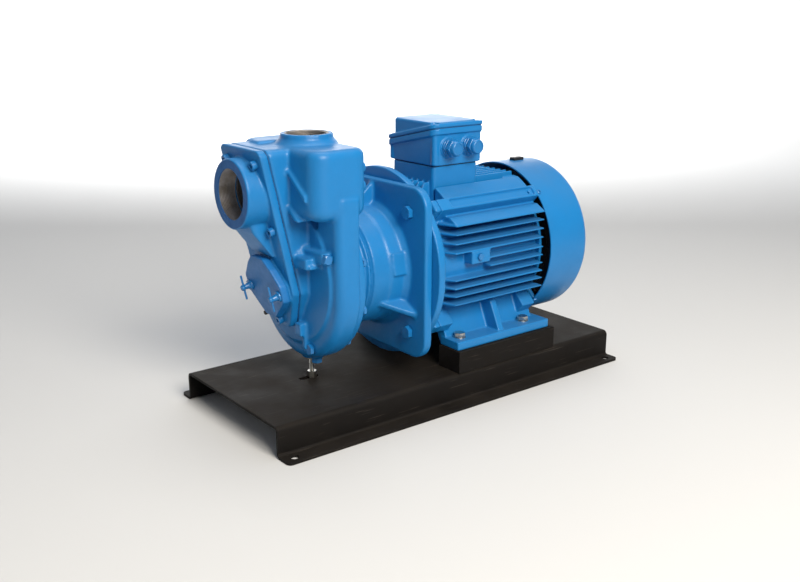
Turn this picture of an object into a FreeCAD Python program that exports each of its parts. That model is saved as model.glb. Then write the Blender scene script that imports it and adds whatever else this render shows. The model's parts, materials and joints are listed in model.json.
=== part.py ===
import FreeCAD, Part
import math
import os

# Self-priming semi-trash pump, close-coupled to a foot and flange mounted electric motor,
# both carried on a folded steel baseplate. Millimetres, +Z up, shaft along X with the
# suction port facing -X, origin at the centre of the baseplate's underside.

V = FreeCAD.Vector
AXIS_X = V(1, 0, 0)
AXIS_Y = V(0, 1, 0)
AXIS_Z = V(0, 0, 1)

# Running and seating clearances
fit_gap = 0.1
bearing_gap = 0.02
body_gap = 0.3
thread_gap = 0.1

# Baseplate: folded sheet with a flat top, two webs and two outward anchor flanges
base_length = 682.0
base_top_width = 272.0
base_height = 47.0
base_sheet = 4.0
base_bend_radius = 8.0
anchor_flange_width = 28.0
anchor_hole_radius = 6.5
anchor_end_distance = 18.0
stud_slot_length = 34.0
stud_slot_width = 11.0

# Riser bars welded on the baseplate under the motor feet
riser_front_x = -8.0
riser_length = 212.0
riser_width = 50.0
riser_height = 35.5
riser_outer_y = 135.0

# Motor, size 132 frame
motor_shaft_height = 132.0
foot_hole_spacing_y = 216.0
foot_hole_spacing_x = 140.0
foot_hole_radius = 6.0
foot_front_x = -5.5
foot_length = 202.0
foot_outer_y = 129.0
foot_inner_y = 84.0
foot_thickness = 14.0
foot_web_width = 13.0
foot_web_length = 190.0
foot_rib_x = 84.5
foot_rib_thickness = 12.5
foot_rib_setback = 5.0
foot_bolt_radius = 5.0
foot_first_hole_x = 15.0
foot_bolt_length = 32.0
foot_bolt_flats = 16.0
foot_bolt_head = 6.4
washer_radius = 10.0
washer_thickness = 2.0
flange_face_x = -63.0
flange_radius = 150.0
flange_thickness = 12.0
flange_bolt_circle = 265.0
flange_bolt_radius = 6.0
spigot_radius = 115.0
spigot_depth = 4.0
frame_front_x = -24.0
frame_rear_x = 186.0
frame_shell_radius = 103.0
core_radius = 92.0
fin_root_thickness = 5.6
fin_tip_thickness = 2.6
fin_sweep = 14.0
fin_end_inset = 2.0
side_fin_reach = 121.5
side_fin_rises = (67.0, 53.0, 38.5, 24.0, 8.0, -6.0, -19.5, -32.5, -45.5, -59.0)
top_fin_pitch = 13.5
top_fin_reach = 124.0
low_fin_reach = 112.0
block_reach = 141.0
block_half_width = 10.5
block_recess_depth = 4.5
short_block_length = 28.0
shoulder_radius = 129.5
shoulder_inner_y = 56.0
shoulder_front_x = 4.0
core_front_x = 22.0
core_length = 126.0
core_bore_radius = 60.0
air_gap = 0.6
winding_overhang = 24.0
winding_thickness = 20.0
shield_wall = 9.0
drive_bolt_circle_radius = 128.0
rear_bolt_circle_radius = 112.0
drive_lug_length = 12.0
flange_bolt_tail = 5.0
shield_bolt_radius = 4.0
drive_bolt_angles = (45.0, 135.0, 225.0, 315.0)
rear_bolt_angles = (70.0, 110.0, 250.0, 290.0)

# Bearings, bore 40, outer diameter 80, width 18
bearing_bore_radius = 20.0
bearing_outer_radius = 40.0
bearing_width = 18.0
bearing_ball_radius = 6.35
bearing_ball_count = 9
bearing_ring_wall = 5.2
drive_bearing_x = -44.0
rear_bearing_x = 182.0
wave_washer_thickness = 0.6

# Shaft
drive_shaft_radius = 19.0
drive_shaft_length = 80.0
shaft_body_radius = 24.0
shaft_shoulder_length = 8.0
fan_seat_radius = 15.0
fan_seat_length = 42.0
key_width = 10.0
key_height = 8.0
key_length = 56.0

# Fan and its cover
fan_cover_radius = 132.0
fan_cover_front_x = 192.0
fan_cover_length = 92.0
fan_cover_sheet = 2.0
fan_cover_round = 14.0
fan_radius = 112.0
fan_hub_radius = 26.0
fan_blade_count = 8
fan_plate_thickness = 4.0
fan_blade_depth = 30.0
grille_rings = 4
grille_spokes = 6
grille_slot = 7.0
grille_pitch = 22.0
grille_first_radius = 24.0
cover_fixing_radius = 2.5
cover_fixing_angles = (45.0, 135.0, 225.0, 315.0)

# Terminal box on top of the motor
box_front_x = -0.5
box_length = 101.0
box_width = 118.0
box_wall = 4.0
box_base_rise = 149.5
box_height = 67.0
box_draft_inset = 3.5
box_corner_radius = 10.0
box_rim_depth = 9.0
box_rim_width = 2.5
box_window_length = 40.0
box_window_half_width = 24.0
lid_near_height = 9.0
lid_far_height = 36.0
lid_flange_thickness = 6.5
lid_flange_lip = 3.0
lid_cap_inset = 4.0
lid_screw_inset = 7.0
lid_notch_radius = 7.0
lid_pillar_radius = 6.0
gasket_thickness = 1.5
pedestal_inset_x = 4.5
pedestal_inset_y = 7.0
gland_flats = 26.0
gland_cap_radius = 12.2
gland_thread_radius = 10.0
gland_spacing = 42.0
gland_rise = 28.0
gland_boss_length = 4.0
lid_screw_radius = 2.5
lid_screw_length = 20.0
lid_screw_head_radius = 4.5
earth_x = 42.0
earth_rise = 13.0

# Pump casing
suction_face_x = -323.0
suction_rise = 135.5
suction_boss_radius = 50.5
suction_thread_radius = 37.6
suction_thread_length = 30.0
suction_passage_radius = 34.0
discharge_x = -207.0
discharge_y = -20.0
discharge_collar_radius = 38.5
discharge_thread_radius = 29.8
discharge_collar_height = 14.0
port_chamfer = 1.5
casing_wall = 8.0
cover_face_x = -303.0
cover_face_rise = 180.5
cover_tilt = 13.0
cover_thickness = 12.0
cover_gasket = 1.5
cover_top_rise = 200.5
cover_top_half_width = 57.0
cover_low_half_width = 53.0
cover_shoulder_drop = 12.5
cover_tip_drop = 72.5
cover_tip_half_width = 20.0
cover_corner_radius = 12.0
casing_flange_thickness = 14.0
chest_inset = 4.0
chamber_front_x = -260.0
chamber_rear_x = -168.0
chamber_near_y = -122.0
chamber_far_y = 85.0
chamber_low_rise = 102.5
chamber_height = 99.0
chamber_round = 24.0
chamber_edge_round = 11.0
chamber_floor_round = 18.0
partition_tilt = 18.0
partition_top_x = -246.0
volute_front_x = -226.0
volute_rear_x = -190.0
volute_radius = 117.0
volute_offset = 8.0
volute_round = 13.0
rear_flange_radius = 124.0
rear_flange_thickness = 10.0
casing_bolt_circle_radius = 116.0
casing_bolt_radius = 4.0
casing_bolt_count = 10
spigot_bore_radius = 96.0
eye_radius = 34.0
wear_plate_thickness = 6.0
wear_plate_radius = 92.0
stud_x = -196.0
stud_radius = 5.0
casing_foot_drop = 132.5
side_plug_x = -234.0
side_plug_y = -104.0
side_plug_rise = 48.5
side_plug_depth = 14.0
lower_plug_y = -48.0
lower_plug_drop = 102.5
drain_x = -201.0
drain_y = -23.0
drain_face_drop = 128.5
plug_radius = 6.0
plug_flats = 15.0

# Screws of the front cover and the small plug at its foot
cover_screw_radius = 4.0
cover_screw_head_radius = 6.5
cover_screw_head_height = 8.0
cover_screw_depth = 14.0
knob_y = 24.0
knob_rise = 19.0
knob_thread_radius = 3.0
cover_plug_x = 224.5
cover_plug_length = 22.0
cover_plug_width = 12.0
cover_plug_height = 4.8

# Impeller, semi-open with thick vanes
impeller_radius = 82.0
impeller_clearance = 0.6
impeller_shroud = 5.0
impeller_vane_height = 19.0
impeller_vane_count = 3
impeller_vane_thickness = 8.0
impeller_hub_radius = 22.0
impeller_bore_radius = 10.0

# Seal housing and shaft seal
seal_flange_thickness = 12.0
seal_wall_x = -184.0
seal_barrel_radius = 83.0
seal_barrel_end_x = -143.0
seal_barrel_wall = 8.0
stub_shaft_radius = 26.0
stub_shaft_front_x = -199.0
stub_shaft_rear_x = -92.0

# Lantern bracket between seal housing and motor flange
lantern_drum_radius = 90.0
lantern_drum_front_x = -139.0
lantern_drum_wall = 9.0
lantern_plate_half = 133.0
lantern_plate_corner = 33.0
lantern_plate_thickness = 14.0
gusset_thickness = 9.0

# Cleanout cover and its two T-handle screws
cleanout_drop = 9.5
cleanout_opening_radius = 33.0
cleanout_seat_height = 4.0
cleanout_thickness = 12.0
cleanout_top_radius = 30.0
cleanout_half_height = 49.0
cleanout_low_height = 44.5
cleanout_ear_y = 50.0
t_screw_y = 40.0
t_screw_radius = 6.0
t_screw_reach = 17.0
t_screw_depth = 13.0
t_bar_radius = 2.4
t_bar_length = 36.0

# Non-return flap behind the suction bore
flap_radius = 43.0
flap_thickness = 6.0
flap_pin_radius = 3.0
flap_pin_rise = 45.0
flap_pin_reach = 32.5
flap_pin_setback = 6.0
flap_tab_half_width = 22.0
flap_weight_radius = 32.0
flap_weight_thickness = 4.0

# Values worked out from the ones above
riser_top_z = base_height + riser_height
shaft_z = riser_top_z + motor_shaft_height
tilt = math.radians(cover_tilt)
earth_z = shaft_z + earth_rise
cover_fixing_x = frame_rear_x + 11.0
box_base_z = shaft_z + box_base_rise
box_top_z = box_base_z + box_height
lid_split_near_z = box_top_z - lid_near_height
lid_split_far_z = box_top_z - lid_far_height
gland_z = box_base_z + gland_rise
suction_z = shaft_z + suction_rise
flap_pin_z = suction_z + flap_pin_rise
cover_face_z = shaft_z + cover_face_rise
cover_top_z = shaft_z + cover_top_rise
cover_shoulder_z = shaft_z - cover_shoulder_drop
cover_tip_z = shaft_z - cover_tip_drop
knob_z = cover_tip_z + knob_rise
cleanout_z = shaft_z - cleanout_drop
chamber_low_z = shaft_z + chamber_low_rise
chamber_top_z = chamber_low_z + chamber_height
discharge_face_z = chamber_top_z + discharge_collar_height
casing_foot_z = shaft_z - casing_foot_drop
side_plug_z = shaft_z + side_plug_rise
lower_plug_z = shaft_z - lower_plug_drop
drain_face_z = shaft_z - drain_face_drop
cut_reach = base_length


def box(x0, x1, y0, y1, z0, z1):
    """Rectangular block between two corners."""
    return Part.makeBox(x1 - x0, y1 - y0, z1 - z0, V(x0, y0, z0))


def rod_x(x0, x1, radius, y=0.0, z=shaft_z):
    """Round bar along X."""
    return Part.makeCylinder(radius, x1 - x0, V(x0, y, z), AXIS_X)


def rod_y(y0, y1, radius, x, z):
    """Round bar along Y."""
    return Part.makeCylinder(radius, y1 - y0, V(x, y0, z), AXIS_Y)


def rod_z(z0, z1, radius, x, y):
    """Round bar along Z."""
    return Part.makeCylinder(radius, z1 - z0, V(x, y, z0), AXIS_Z)


def tube_x(x0, x1, outer, inner, y=0.0, z=shaft_z):
    """Round tube along X."""
    return rod_x(x0, x1, outer, y, z).cut(rod_x(x0 - 1, x1 + 1, inner, y, z))


def turned(profile):
    """Body of revolution about the shaft axis from (x, radius) points."""
    points = [V(x, 0, shaft_z + radius) for x, radius in profile]
    wire = Part.makePolygon(points + [points[0]])
    return Part.Face(wire).revolve(V(0, 0, shaft_z), AXIS_X, 360)


def prism(points, direction):
    """Straight prism from a closed outline."""
    return Part.Face(Part.makePolygon(points + [points[0]])).extrude(direction)


def hexagon(across_flats, height, centre, direction):
    """Hexagon head or nut with its base at centre, standing along direction."""
    corner = across_flats / math.sqrt(3)
    corners = [V(corner * math.cos(k * math.pi / 3), corner * math.sin(k * math.pi / 3), 0)
               for k in range(6)]
    body = prism(corners, V(0, 0, height))
    body.Placement = FreeCAD.Placement(centre, FreeCAD.Rotation(AXIS_Z, direction))
    return body


def cylinder_at(radius, height, centre, direction):
    """Round bar from centre along direction."""
    return Part.makeCylinder(radius, height, centre, direction)


def group(shapes):
    """Separate solids kept together in one node."""
    return Part.makeCompound(shapes)


def rounded(shape, radius, choose):
    """Fillet of the edges that choose picks."""
    edges = [edge for edge in shape.Edges if choose(edge)]
    return shape.makeFillet(radius, edges) if edges else shape


def along(edge, axis):
    """True for a straight edge parallel to axis."""
    if not isinstance(edge.Curve, (Part.Line, Part.LineSegment)):
        return False
    direction = edge.Vertexes[-1].Point - edge.Vertexes[0].Point
    return direction.cross(axis).Length < 1e-6 * direction.Length


def save(name, shape):
    """Write one node."""
    shape.exportStep("parts/" + name + ".step")


def around_axis(count, first_degrees=0.0):
    """Angles of an even pattern about the shaft axis, in degrees."""
    return [first_degrees + 360.0 * k / count for k in range(count)]


def polar(radius, degrees):
    """(y, z) at a radius and angle about the shaft axis, angle from +Y towards +Z."""
    angle = math.radians(degrees)
    return radius * math.cos(angle), shaft_z + radius * math.sin(angle)


# Planes parallel to the tilted front cover.
def cover_x(z, depth=0.0):
    """X on the plane that lies depth behind the cover's front face, at height z."""
    return cover_face_x + (cover_face_z - z) * math.tan(tilt) + depth / math.cos(tilt)


cover_normal = V(-math.cos(tilt), 0, -math.sin(tilt))


def cover_point(y, z, depth=0.0):
    """Point reached by going depth straight in from the cover's front face at height z."""
    return V(cover_x(z), y, z) - cover_normal * depth


def tilted_slab(front_depth, rear_depth):
    """Large slab between two planes parallel to the cover's face."""
    low, high = -cut_reach, 2 * cut_reach
    outline = [V(cover_x(low, front_depth), -cut_reach, low), V(cover_x(high, front_depth), -cut_reach, high),
               V(cover_x(high, rear_depth), -cut_reach, high), V(cover_x(low, rear_depth), -cut_reach, low)]
    return prism(outline, V(0, 2 * cut_reach, 0))


def cover_outline(inset=0.0):
    """Closed (y, z) outline of the front cover: wide at the top, drawn in to a tip below."""
    top = cover_top_half_width - inset
    low = cover_low_half_width - inset
    tip = cover_tip_half_width - inset * 0.4
    return [(-top, cover_top_z - inset), (top, cover_top_z - inset), (low, cover_shoulder_z),
            (tip, cover_tip_z + inset), (-tip, cover_tip_z + inset), (-low, cover_shoulder_z)]


def outline_prism(outline, x0, x1, radius):
    """Outline carried along X, with its corners rounded."""
    body = prism([V(x0, y, z) for y, z in outline], V(x1 - x0, 0, 0))
    return rounded(body, radius, lambda edge: along(edge, AXIS_X))


def make_base():
    """Folded sheet: top, two webs and two outward flanges, with the bends rounded."""
    half = base_top_width / 2
    reach = half + anchor_flange_width
    t = base_sheet
    x0 = -base_length / 2
    section = [(-reach, 0), (-half + t, 0), (-half + t, base_height - t), (half - t, base_height - t),
               (half - t, 0), (reach, 0), (reach, t), (half, t), (half, base_height),
               (-half, base_height), (-half, t), (-reach, t)]
    body = prism([V(x0, y, z) for y, z in section], V(base_length, 0, 0))

    def bend(y, z):
        return lambda edge: along(edge, AXIS_X) and all(
            abs(abs(v.Point.y) - y) < 0.01 and abs(v.Point.z - z) < 0.01 for v in edge.Vertexes)
    body = rounded(body, base_bend_radius, bend(half, base_height))
    body = rounded(body, base_bend_radius - t, bend(half - t, base_height - t))
    body = rounded(body, base_bend_radius, bend(half - t, 0))
    body = rounded(body, base_bend_radius - t, bend(half, t))
    body = rounded(body, 8.0, lambda edge: along(edge, AXIS_Z) and
                   abs(abs(edge.Vertexes[0].Point.y) - reach) < 0.01)
    for x in (-1, 1):
        for y in (-1, 1):
            body = body.cut(rod_z(-1, t + 1, anchor_hole_radius,
                                  x * (base_length / 2 - anchor_end_distance),
                                  y * (half + anchor_flange_width / 2)))
    slot_half = (stud_slot_length - stud_slot_width) / 2
    z0, z1 = base_height - t - 1, base_height + 1
    slot = box(stud_x - 6 - slot_half, stud_x - 6 + slot_half, -stud_slot_width / 2,
               stud_slot_width / 2, z0, z1)
    slot = slot.fuse([rod_z(z0, z1, stud_slot_width / 2, stud_x - 6 - slot_half, 0),
                      rod_z(z0, z1, stud_slot_width / 2, stud_x - 6 + slot_half, 0)])
    return body.cut(slot)


def foot_holes():
    """(x, y) of the four motor foot bolts."""
    return [(foot_first_hole_x + i * foot_hole_spacing_x, j * foot_hole_spacing_y / 2)
            for i in (0, 1) for j in (-1, 1)]


def make_risers():
    """Two steel bars with tapped holes for the foot bolts."""
    bars = []
    for side in (-1, 1):
        y0, y1 = sorted((side * riser_outer_y, side * (riser_outer_y - riser_width)))
        bar = box(riser_front_x, riser_front_x + riser_length, y0, y1, base_height, riser_top_z)
        bar = rounded(bar, 1.5, lambda edge: along(edge, AXIS_X) and
                      edge.Vertexes[0].Point.z > base_height + 1)
        for x, y in foot_holes():
            if y * side > 0:
                bar = bar.cut(rod_z(riser_top_z - foot_bolt_length + 7, riser_top_z + 1,
                                    foot_bolt_radius + thread_gap, x, y))
        bars.append(bar)
    return group(bars)


def hex_screw(radius, length, across_flats, head, seat, direction):
    """Hexagon head screw: seat is the centre of its head's underside, direction points out of the head."""
    shank = cylinder_at(radius, length, seat, direction * -1)
    return shank.fuse(hexagon(across_flats, head, seat, direction)).removeSplitter()


def washer(outer, inner, thickness, centre, direction):
    """Flat washer."""
    ring = cylinder_at(outer, thickness, centre, direction)
    return ring.cut(cylinder_at(inner, thickness, centre, direction))


def make_foot_fasteners():
    """Foot bolts and their washers."""
    top = riser_top_z + foot_thickness
    bolts = [hex_screw(foot_bolt_radius, foot_bolt_length, foot_bolt_flats, foot_bolt_head,
                       V(x, y, top + washer_thickness), AXIS_Z) for x, y in foot_holes()]
    washers = [washer(washer_radius, foot_bolt_radius + body_gap, washer_thickness, V(x, y, top), AXIS_Z)
               for x, y in foot_holes()]
    return group(bolts), group(washers)


def chest_body(inset, front_depth):
    """Suction chest: cover outline carried back to the partition above and the volute below."""
    body = outline_prism(cover_outline(inset), -340, volute_front_x + casing_wall, cover_corner_radius)
    body = body.common(tilted_slab(front_depth, 400))
    return body.cut(behind_partition(0.0))


def partition_x(z, depth=0.0):
    """X on the slanted wall between suction chest and priming chamber, at height z."""
    slope = math.tan(math.radians(partition_tilt))
    return partition_top_x + (chamber_top_z - z) * slope + depth


def behind_partition(depth):
    """Everything behind the slanted wall, down to the chamber's floor."""
    low, high = chamber_low_z + casing_wall, 2 * cut_reach
    outline = [V(partition_x(low, depth), -cut_reach, low), V(partition_x(high, depth), -cut_reach, high),
               V(cut_reach, -cut_reach, high), V(cut_reach, -cut_reach, low)]
    return prism(outline, V(0, 2 * cut_reach, 0))


def chamber_block(inset, edge_radius, floor_radius, corner_radius):
    """Rounded priming chamber above the volute, inset from its outside."""
    low = chamber_low_z + inset
    body = box(chamber_front_x + inset, chamber_rear_x - inset, chamber_near_y + inset,
               chamber_far_y - inset, low, chamber_top_z - inset)
    body = rounded(body, corner_radius, lambda edge: along(edge, AXIS_Z))
    body = rounded(body, floor_radius, lambda edge: edge.BoundBox.ZMax < low + 0.01)
    return rounded(body, edge_radius, lambda edge: edge.BoundBox.ZMin > chamber_top_z - inset - 0.01)


def volute_disc(x0, x1, radius):
    """Disc on the volute's own centre, which is set off from the shaft as a spiral is."""
    return rod_x(x0, x1, radius, -volute_offset, shaft_z - volute_offset)


def make_casing():
    """Cast casing: suction chest, volute and priming chamber in one piece, hollow."""
    flange_front = cover_thickness + cover_gasket
    flange = outline_prism(cover_outline(), -340, -200, cover_corner_radius)
    flange = flange.common(tilted_slab(flange_front, flange_front + casing_flange_thickness))
    chest = chest_body(chest_inset, flange_front)
    volute = volute_disc(volute_front_x, volute_rear_x, volute_radius)
    volute = rounded(volute, volute_round, lambda edge: edge.BoundBox.XMax < volute_front_x + 1)
    throat_y = -volute_offset - volute_radius
    throat = box(volute_front_x, volute_rear_x, throat_y, throat_y + 52,
                 shaft_z - volute_offset, chamber_low_z + 30)
    throat = rounded(throat, volute_round, lambda edge: along(edge, AXIS_Z) and
                     edge.BoundBox.XMax < volute_front_x + 1 and edge.BoundBox.YMax < throat_y + 1)
    chamber = chamber_block(0.0, chamber_edge_round, chamber_floor_round, chamber_round)
    collar_z = chamber_top_z - casing_wall
    collar = rod_z(collar_z, discharge_face_z, discharge_collar_radius, discharge_x, discharge_y)
    saddle = Part.makeCone(discharge_collar_radius + 8, discharge_collar_radius, 8,
                           V(discharge_x, discharge_y, chamber_top_z - 1))
    rear_flange = rod_x(volute_rear_x - rear_flange_thickness, volute_rear_x, rear_flange_radius)
    bosses = []
    for degrees in casing_bolt_angles():
        y, z = polar(casing_bolt_circle_radius, degrees)
        bosses.append(rod_x(volute_rear_x - 22, volute_rear_x, 9.5, y, z))
    keel = prism([V(cover_x(cover_tip_z + 6, flange_front + 2), -14, cover_tip_z + 6),
                  V(volute_front_x + 6, -14, shaft_z - 118), V(volute_front_x + 20, -14, casing_foot_z + 8),
                  V(volute_rear_x - 6, -14, casing_foot_z + 8), V(volute_rear_x - 6, -14, shaft_z)],
                 V(0, 28, 0))
    foot = rod_z(casing_foot_z, shaft_z - 105, 15, stud_x, 0)
    drain_boss = rod_z(drain_face_z, shaft_z - 100, 10, drain_x, drain_y)
    trims = casing_ribs_and_bosses()
    outside = chest.multiFuse([flange, volute, throat, chamber, collar, saddle, rear_flange, keel,
                               foot, drain_boss] + bosses + trims)
    return outside.cut(casing_cavities()).removeSplitter()


def casing_bolt_angles():
    """Bolts round the rear flange that are reached beside and below the chamber."""
    return around_axis(casing_bolt_count, 18.0)


def casing_ribs_and_bosses():
    """Slanted ribs on the chamber's front, cast bosses for plugs and lifting lugs."""
    ribs = []
    for z in (cover_top_z - 22, cover_top_z - 74):
        rib = prism([V(chamber_front_x - 5, -50, z), V(chamber_front_x - 5, -50, z - 9),
                     V(chamber_front_x - 5, -100, z - 47), V(chamber_front_x - 5, -100, z - 38)],
                    V(25, 0, 0))
        ribs.append(rib)
    plug_boss = prism([V(-250, -50, 244), V(-250, -50, 268), V(-250, -88, 266), V(-250, -88, 246)],
                      V(24, 0, 0))
    plug_tower = rod_y(side_plug_y, -40, 11, side_plug_x, side_plug_z)
    lower_lug = box(-227, -208, -40, -12, 138, 160)
    lower_rib = box(-228, -212, -40, -31, 104, 140)
    rear_pads = [rod_x(chamber_rear_x - 12, chamber_rear_x + 5, 8, chamber_near_y + 24, z)
                 for z in (chamber_top_z - 30, chamber_top_z - 56)]
    top_lug = box(discharge_x - 62, discharge_x - 30, 10, 34, chamber_top_z - 12, chamber_top_z + 3)
    return ribs + [plug_boss, plug_tower, lower_lug, lower_rib, top_lug] + rear_pads


def casing_cavities():
    """Suction chest, priming chamber, volute and the passages between them, with the tapped holes."""
    flange_front = cover_thickness + cover_gasket
    chest = outline_prism(cover_outline(chest_inset + casing_wall), -340, volute_front_x,
                          cover_corner_radius - 4)
    chest = chest.cut(behind_partition(-casing_wall))
    chest = chest.common(tilted_slab(flange_front - 1, 400))
    chest = chest.cut(cover_screw_bosses())
    chamber = chamber_block(casing_wall, 6.0, chamber_floor_round - casing_wall, chamber_round - casing_wall)
    shield = outline_prism(cover_outline(chest_inset), -340, -120, cover_corner_radius)
    in_front = shield.cut(behind_partition(0.0))
    chamber = chamber.cut(in_front)
    chamber = chamber.cut(rod_x(volute_rear_x - casing_wall, chamber_rear_x + 10,
                                rear_flange_radius + 2 + casing_wall))
    housing_pocket = rod_x(volute_rear_x, chamber_rear_x + 20, rear_flange_radius + 2)
    volute = volute_disc(volute_front_x + casing_wall, volute_rear_x + 1, volute_radius - casing_wall)
    throat_y = -volute_offset - volute_radius
    throat = box(volute_front_x + casing_wall, volute_rear_x - casing_wall, throat_y + casing_wall,
                 throat_y + 44, shaft_z - volute_offset, chamber_low_z + casing_wall + 10)
    outlet = rod_z(chamber_top_z - casing_wall - 8, discharge_face_z + 1, discharge_thread_radius,
                   discharge_x, discharge_y)
    lead_in = Part.makeCone(discharge_thread_radius, discharge_thread_radius + port_chamfer + 1,
                            port_chamfer + 1, V(discharge_x, discharge_y, discharge_face_z - port_chamfer))
    eye = rod_x(volute_front_x - 30, volute_rear_x, eye_radius)
    spigot = rod_x(volute_rear_x - 7, volute_rear_x + 1, spigot_bore_radius)
    seat = rod_x(volute_front_x + casing_wall - 0.01, volute_front_x + casing_wall + 1,
                 wear_plate_radius + fit_gap)
    cuts = [chamber, volute, throat, outlet, lead_in, eye, spigot, seat, housing_pocket]
    for degrees in casing_bolt_angles():
        y, z = polar(casing_bolt_circle_radius, degrees)
        cuts.append(rod_x(volute_rear_x - 18, volute_rear_x + 1, casing_bolt_radius + thread_gap, y, z))
    for y, z in cover_screw_places():
        centre = cover_point(y, z, cover_thickness)
        cuts.append(cylinder_at(cover_screw_radius + thread_gap, cover_screw_depth + 3, centre,
                                cover_normal * -1))
    hole = plug_radius + thread_gap
    cuts.append(rod_y(side_plug_y - 1, side_plug_y + side_plug_depth, hole, side_plug_x, side_plug_z))
    cuts.append(rod_x(volute_front_x - 1, volute_front_x + 10, hole, lower_plug_y, lower_plug_z))
    cuts.append(rod_z(drain_face_z - 1, drain_face_z + 11, hole, drain_x, drain_y))
    cuts.append(rod_z(casing_foot_z - 1, casing_foot_z + 14, stud_radius + thread_gap, stud_x, 0))
    reach = flap_pin_reach
    cuts.append(rod_y(-reach - 0.5, reach + 0.5, flap_pin_radius + bearing_gap, flap_pin_x(), flap_pin_z))
    return chest.multiFuse(cuts)


def cover_screw_places():
    """(y, z) of the five socket screws of the front cover: two up, two beside the bore, one at the tip."""
    high = cover_top_z - 20
    middle = suction_z - suction_boss_radius - 0.5
    upper_y = cover_top_half_width - 18
    middle_y = cover_top_half_width - 15
    return [(-upper_y, high), (upper_y, high), (-middle_y, middle), (middle_y, middle),
            (0, cover_tip_z + 10)]


def cover_screw_bosses():
    """Material left round the cover's tapped holes."""
    bosses = [cylinder_at(cover_screw_radius + 4, 30, cover_point(y, z, cover_thickness - 1), cover_normal * -1)
              for y, z in cover_screw_places()]
    return bosses[0].multiFuse(bosses[1:])


def cleanout_outline(grow=0.0):
    """(y, z) outline of the cleanout cover: round top, two ears and a blunt lower tip."""
    ear = cleanout_ear_y + grow
    top = cleanout_z + cleanout_half_height + grow
    low = cleanout_z - cleanout_low_height - grow
    return [(-16, top), (16, top), (32 + grow, top - 14), (ear, cleanout_z + 12), (ear, cleanout_z - 12),
            (14 + grow, low), (-14 - grow, low), (-ear, cleanout_z - 12), (-ear, cleanout_z + 12),
            (-32 - grow, top - 14)]


def cleanout_slab(grow, front, rear):
    """Cleanout outline between two depths, negative depths standing proud of the cover's face."""
    body = outline_prism(cleanout_outline(grow), -340, -200, 7.0)
    return body.common(tilted_slab(front, rear))


def make_front_cover():
    """Front cover: tapered tilted plate, suction boss, neck rib and raised cleanout seat."""
    plate = outline_prism(cover_outline(), -340, -200, cover_corner_radius)
    plate = plate.common(tilted_slab(0, cover_thickness))
    boss = rod_x(suction_face_x, cover_x(suction_z) + 8, suction_boss_radius, 0, suction_z)
    boss = rounded(boss, 2.0, lambda edge: edge.BoundBox.XMax < suction_face_x + 1)
    boss = boss.cut(tilted_slab(cover_thickness - 2, 400))
    neck_top = suction_z - suction_boss_radius + 12
    neck_low = cleanout_z + cleanout_half_height + 4
    neck = prism([V(suction_face_x + 12, -30, neck_top), V(cover_x(neck_low) - 21, -30, neck_low),
                  V(cover_x(neck_low) + 6, -30, neck_low), V(cover_x(neck_top) + 6, -30, neck_top)],
                 V(0, 60, 0))
    neck = rounded(neck, 5.0, lambda edge: abs(edge.BoundBox.YLength) < 0.01 and
                   edge.BoundBox.XMin < cover_x(neck_low) - 15 and edge.BoundBox.ZLength > 20)
    seat = cleanout_slab(-2.0, -cleanout_seat_height, 2.0)
    body = plate.multiFuse([boss, neck, seat])
    thread = rod_x(suction_face_x - 1, suction_face_x + suction_thread_length, suction_thread_radius, 0, suction_z)
    passage = rod_x(suction_face_x, cover_x(suction_z) + 40, suction_passage_radius, 0, suction_z)
    lead_in = Part.makeCone(suction_thread_radius + port_chamfer + 1, suction_thread_radius,
                            port_chamfer + 1, V(suction_face_x - 1, 0, suction_z), AXIS_X)
    opening = cylinder_at(cleanout_opening_radius, 60, cover_point(0, cleanout_z, -20), cover_normal * -1)
    cuts = [thread, passage, lead_in, opening]
    for y, z in cover_screw_places():
        cuts.append(cylinder_at(cover_screw_radius + fit_gap, 40, cover_point(y, z, -20), cover_normal * -1))
    for side in (-1, 1):
        start = cover_point(side * t_screw_y, cleanout_z, -cleanout_seat_height)
        cuts.append(cylinder_at(t_screw_radius + thread_gap, t_screw_depth, start, cover_normal * -1))
    cuts.append(cylinder_at(knob_thread_radius + thread_gap, 10, cover_point(knob_y, knob_z, -1), cover_normal * -1))
    return body.cut(cuts[0].multiFuse(cuts[1:])).removeSplitter()


def make_cover_gasket():
    """Flat gasket between front cover and casing."""
    body = outline_prism(cover_outline(1.0), -340, -200, cover_corner_radius - 1)
    body = body.common(tilted_slab(cover_thickness, cover_thickness + cover_gasket))
    window = outline_prism(cover_outline(chest_inset + casing_wall), -340, -200, cover_corner_radius - 4)
    body = body.cut(window.cut(cover_screw_bosses()))
    for y, z in cover_screw_places():
        body = body.cut(cylinder_at(cover_screw_radius + fit_gap, 40, cover_point(y, z, -10), cover_normal * -1))
    return body


def make_cover_screws():
    """Socket head screws of the front cover."""
    screws = []
    for y, z in cover_screw_places():
        seat = cover_point(y, z)
        head = cylinder_at(cover_screw_head_radius, cover_screw_head_height, seat, cover_normal)
        shank = cylinder_at(cover_screw_radius, cover_thickness + cover_screw_depth, seat, cover_normal * -1)
        socket = hexagon(6.0, 6.0, seat + cover_normal * (cover_screw_head_height - 4), cover_normal)
        screws.append(head.fuse(shank).cut(socket).removeSplitter())
    return group(screws)


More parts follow.
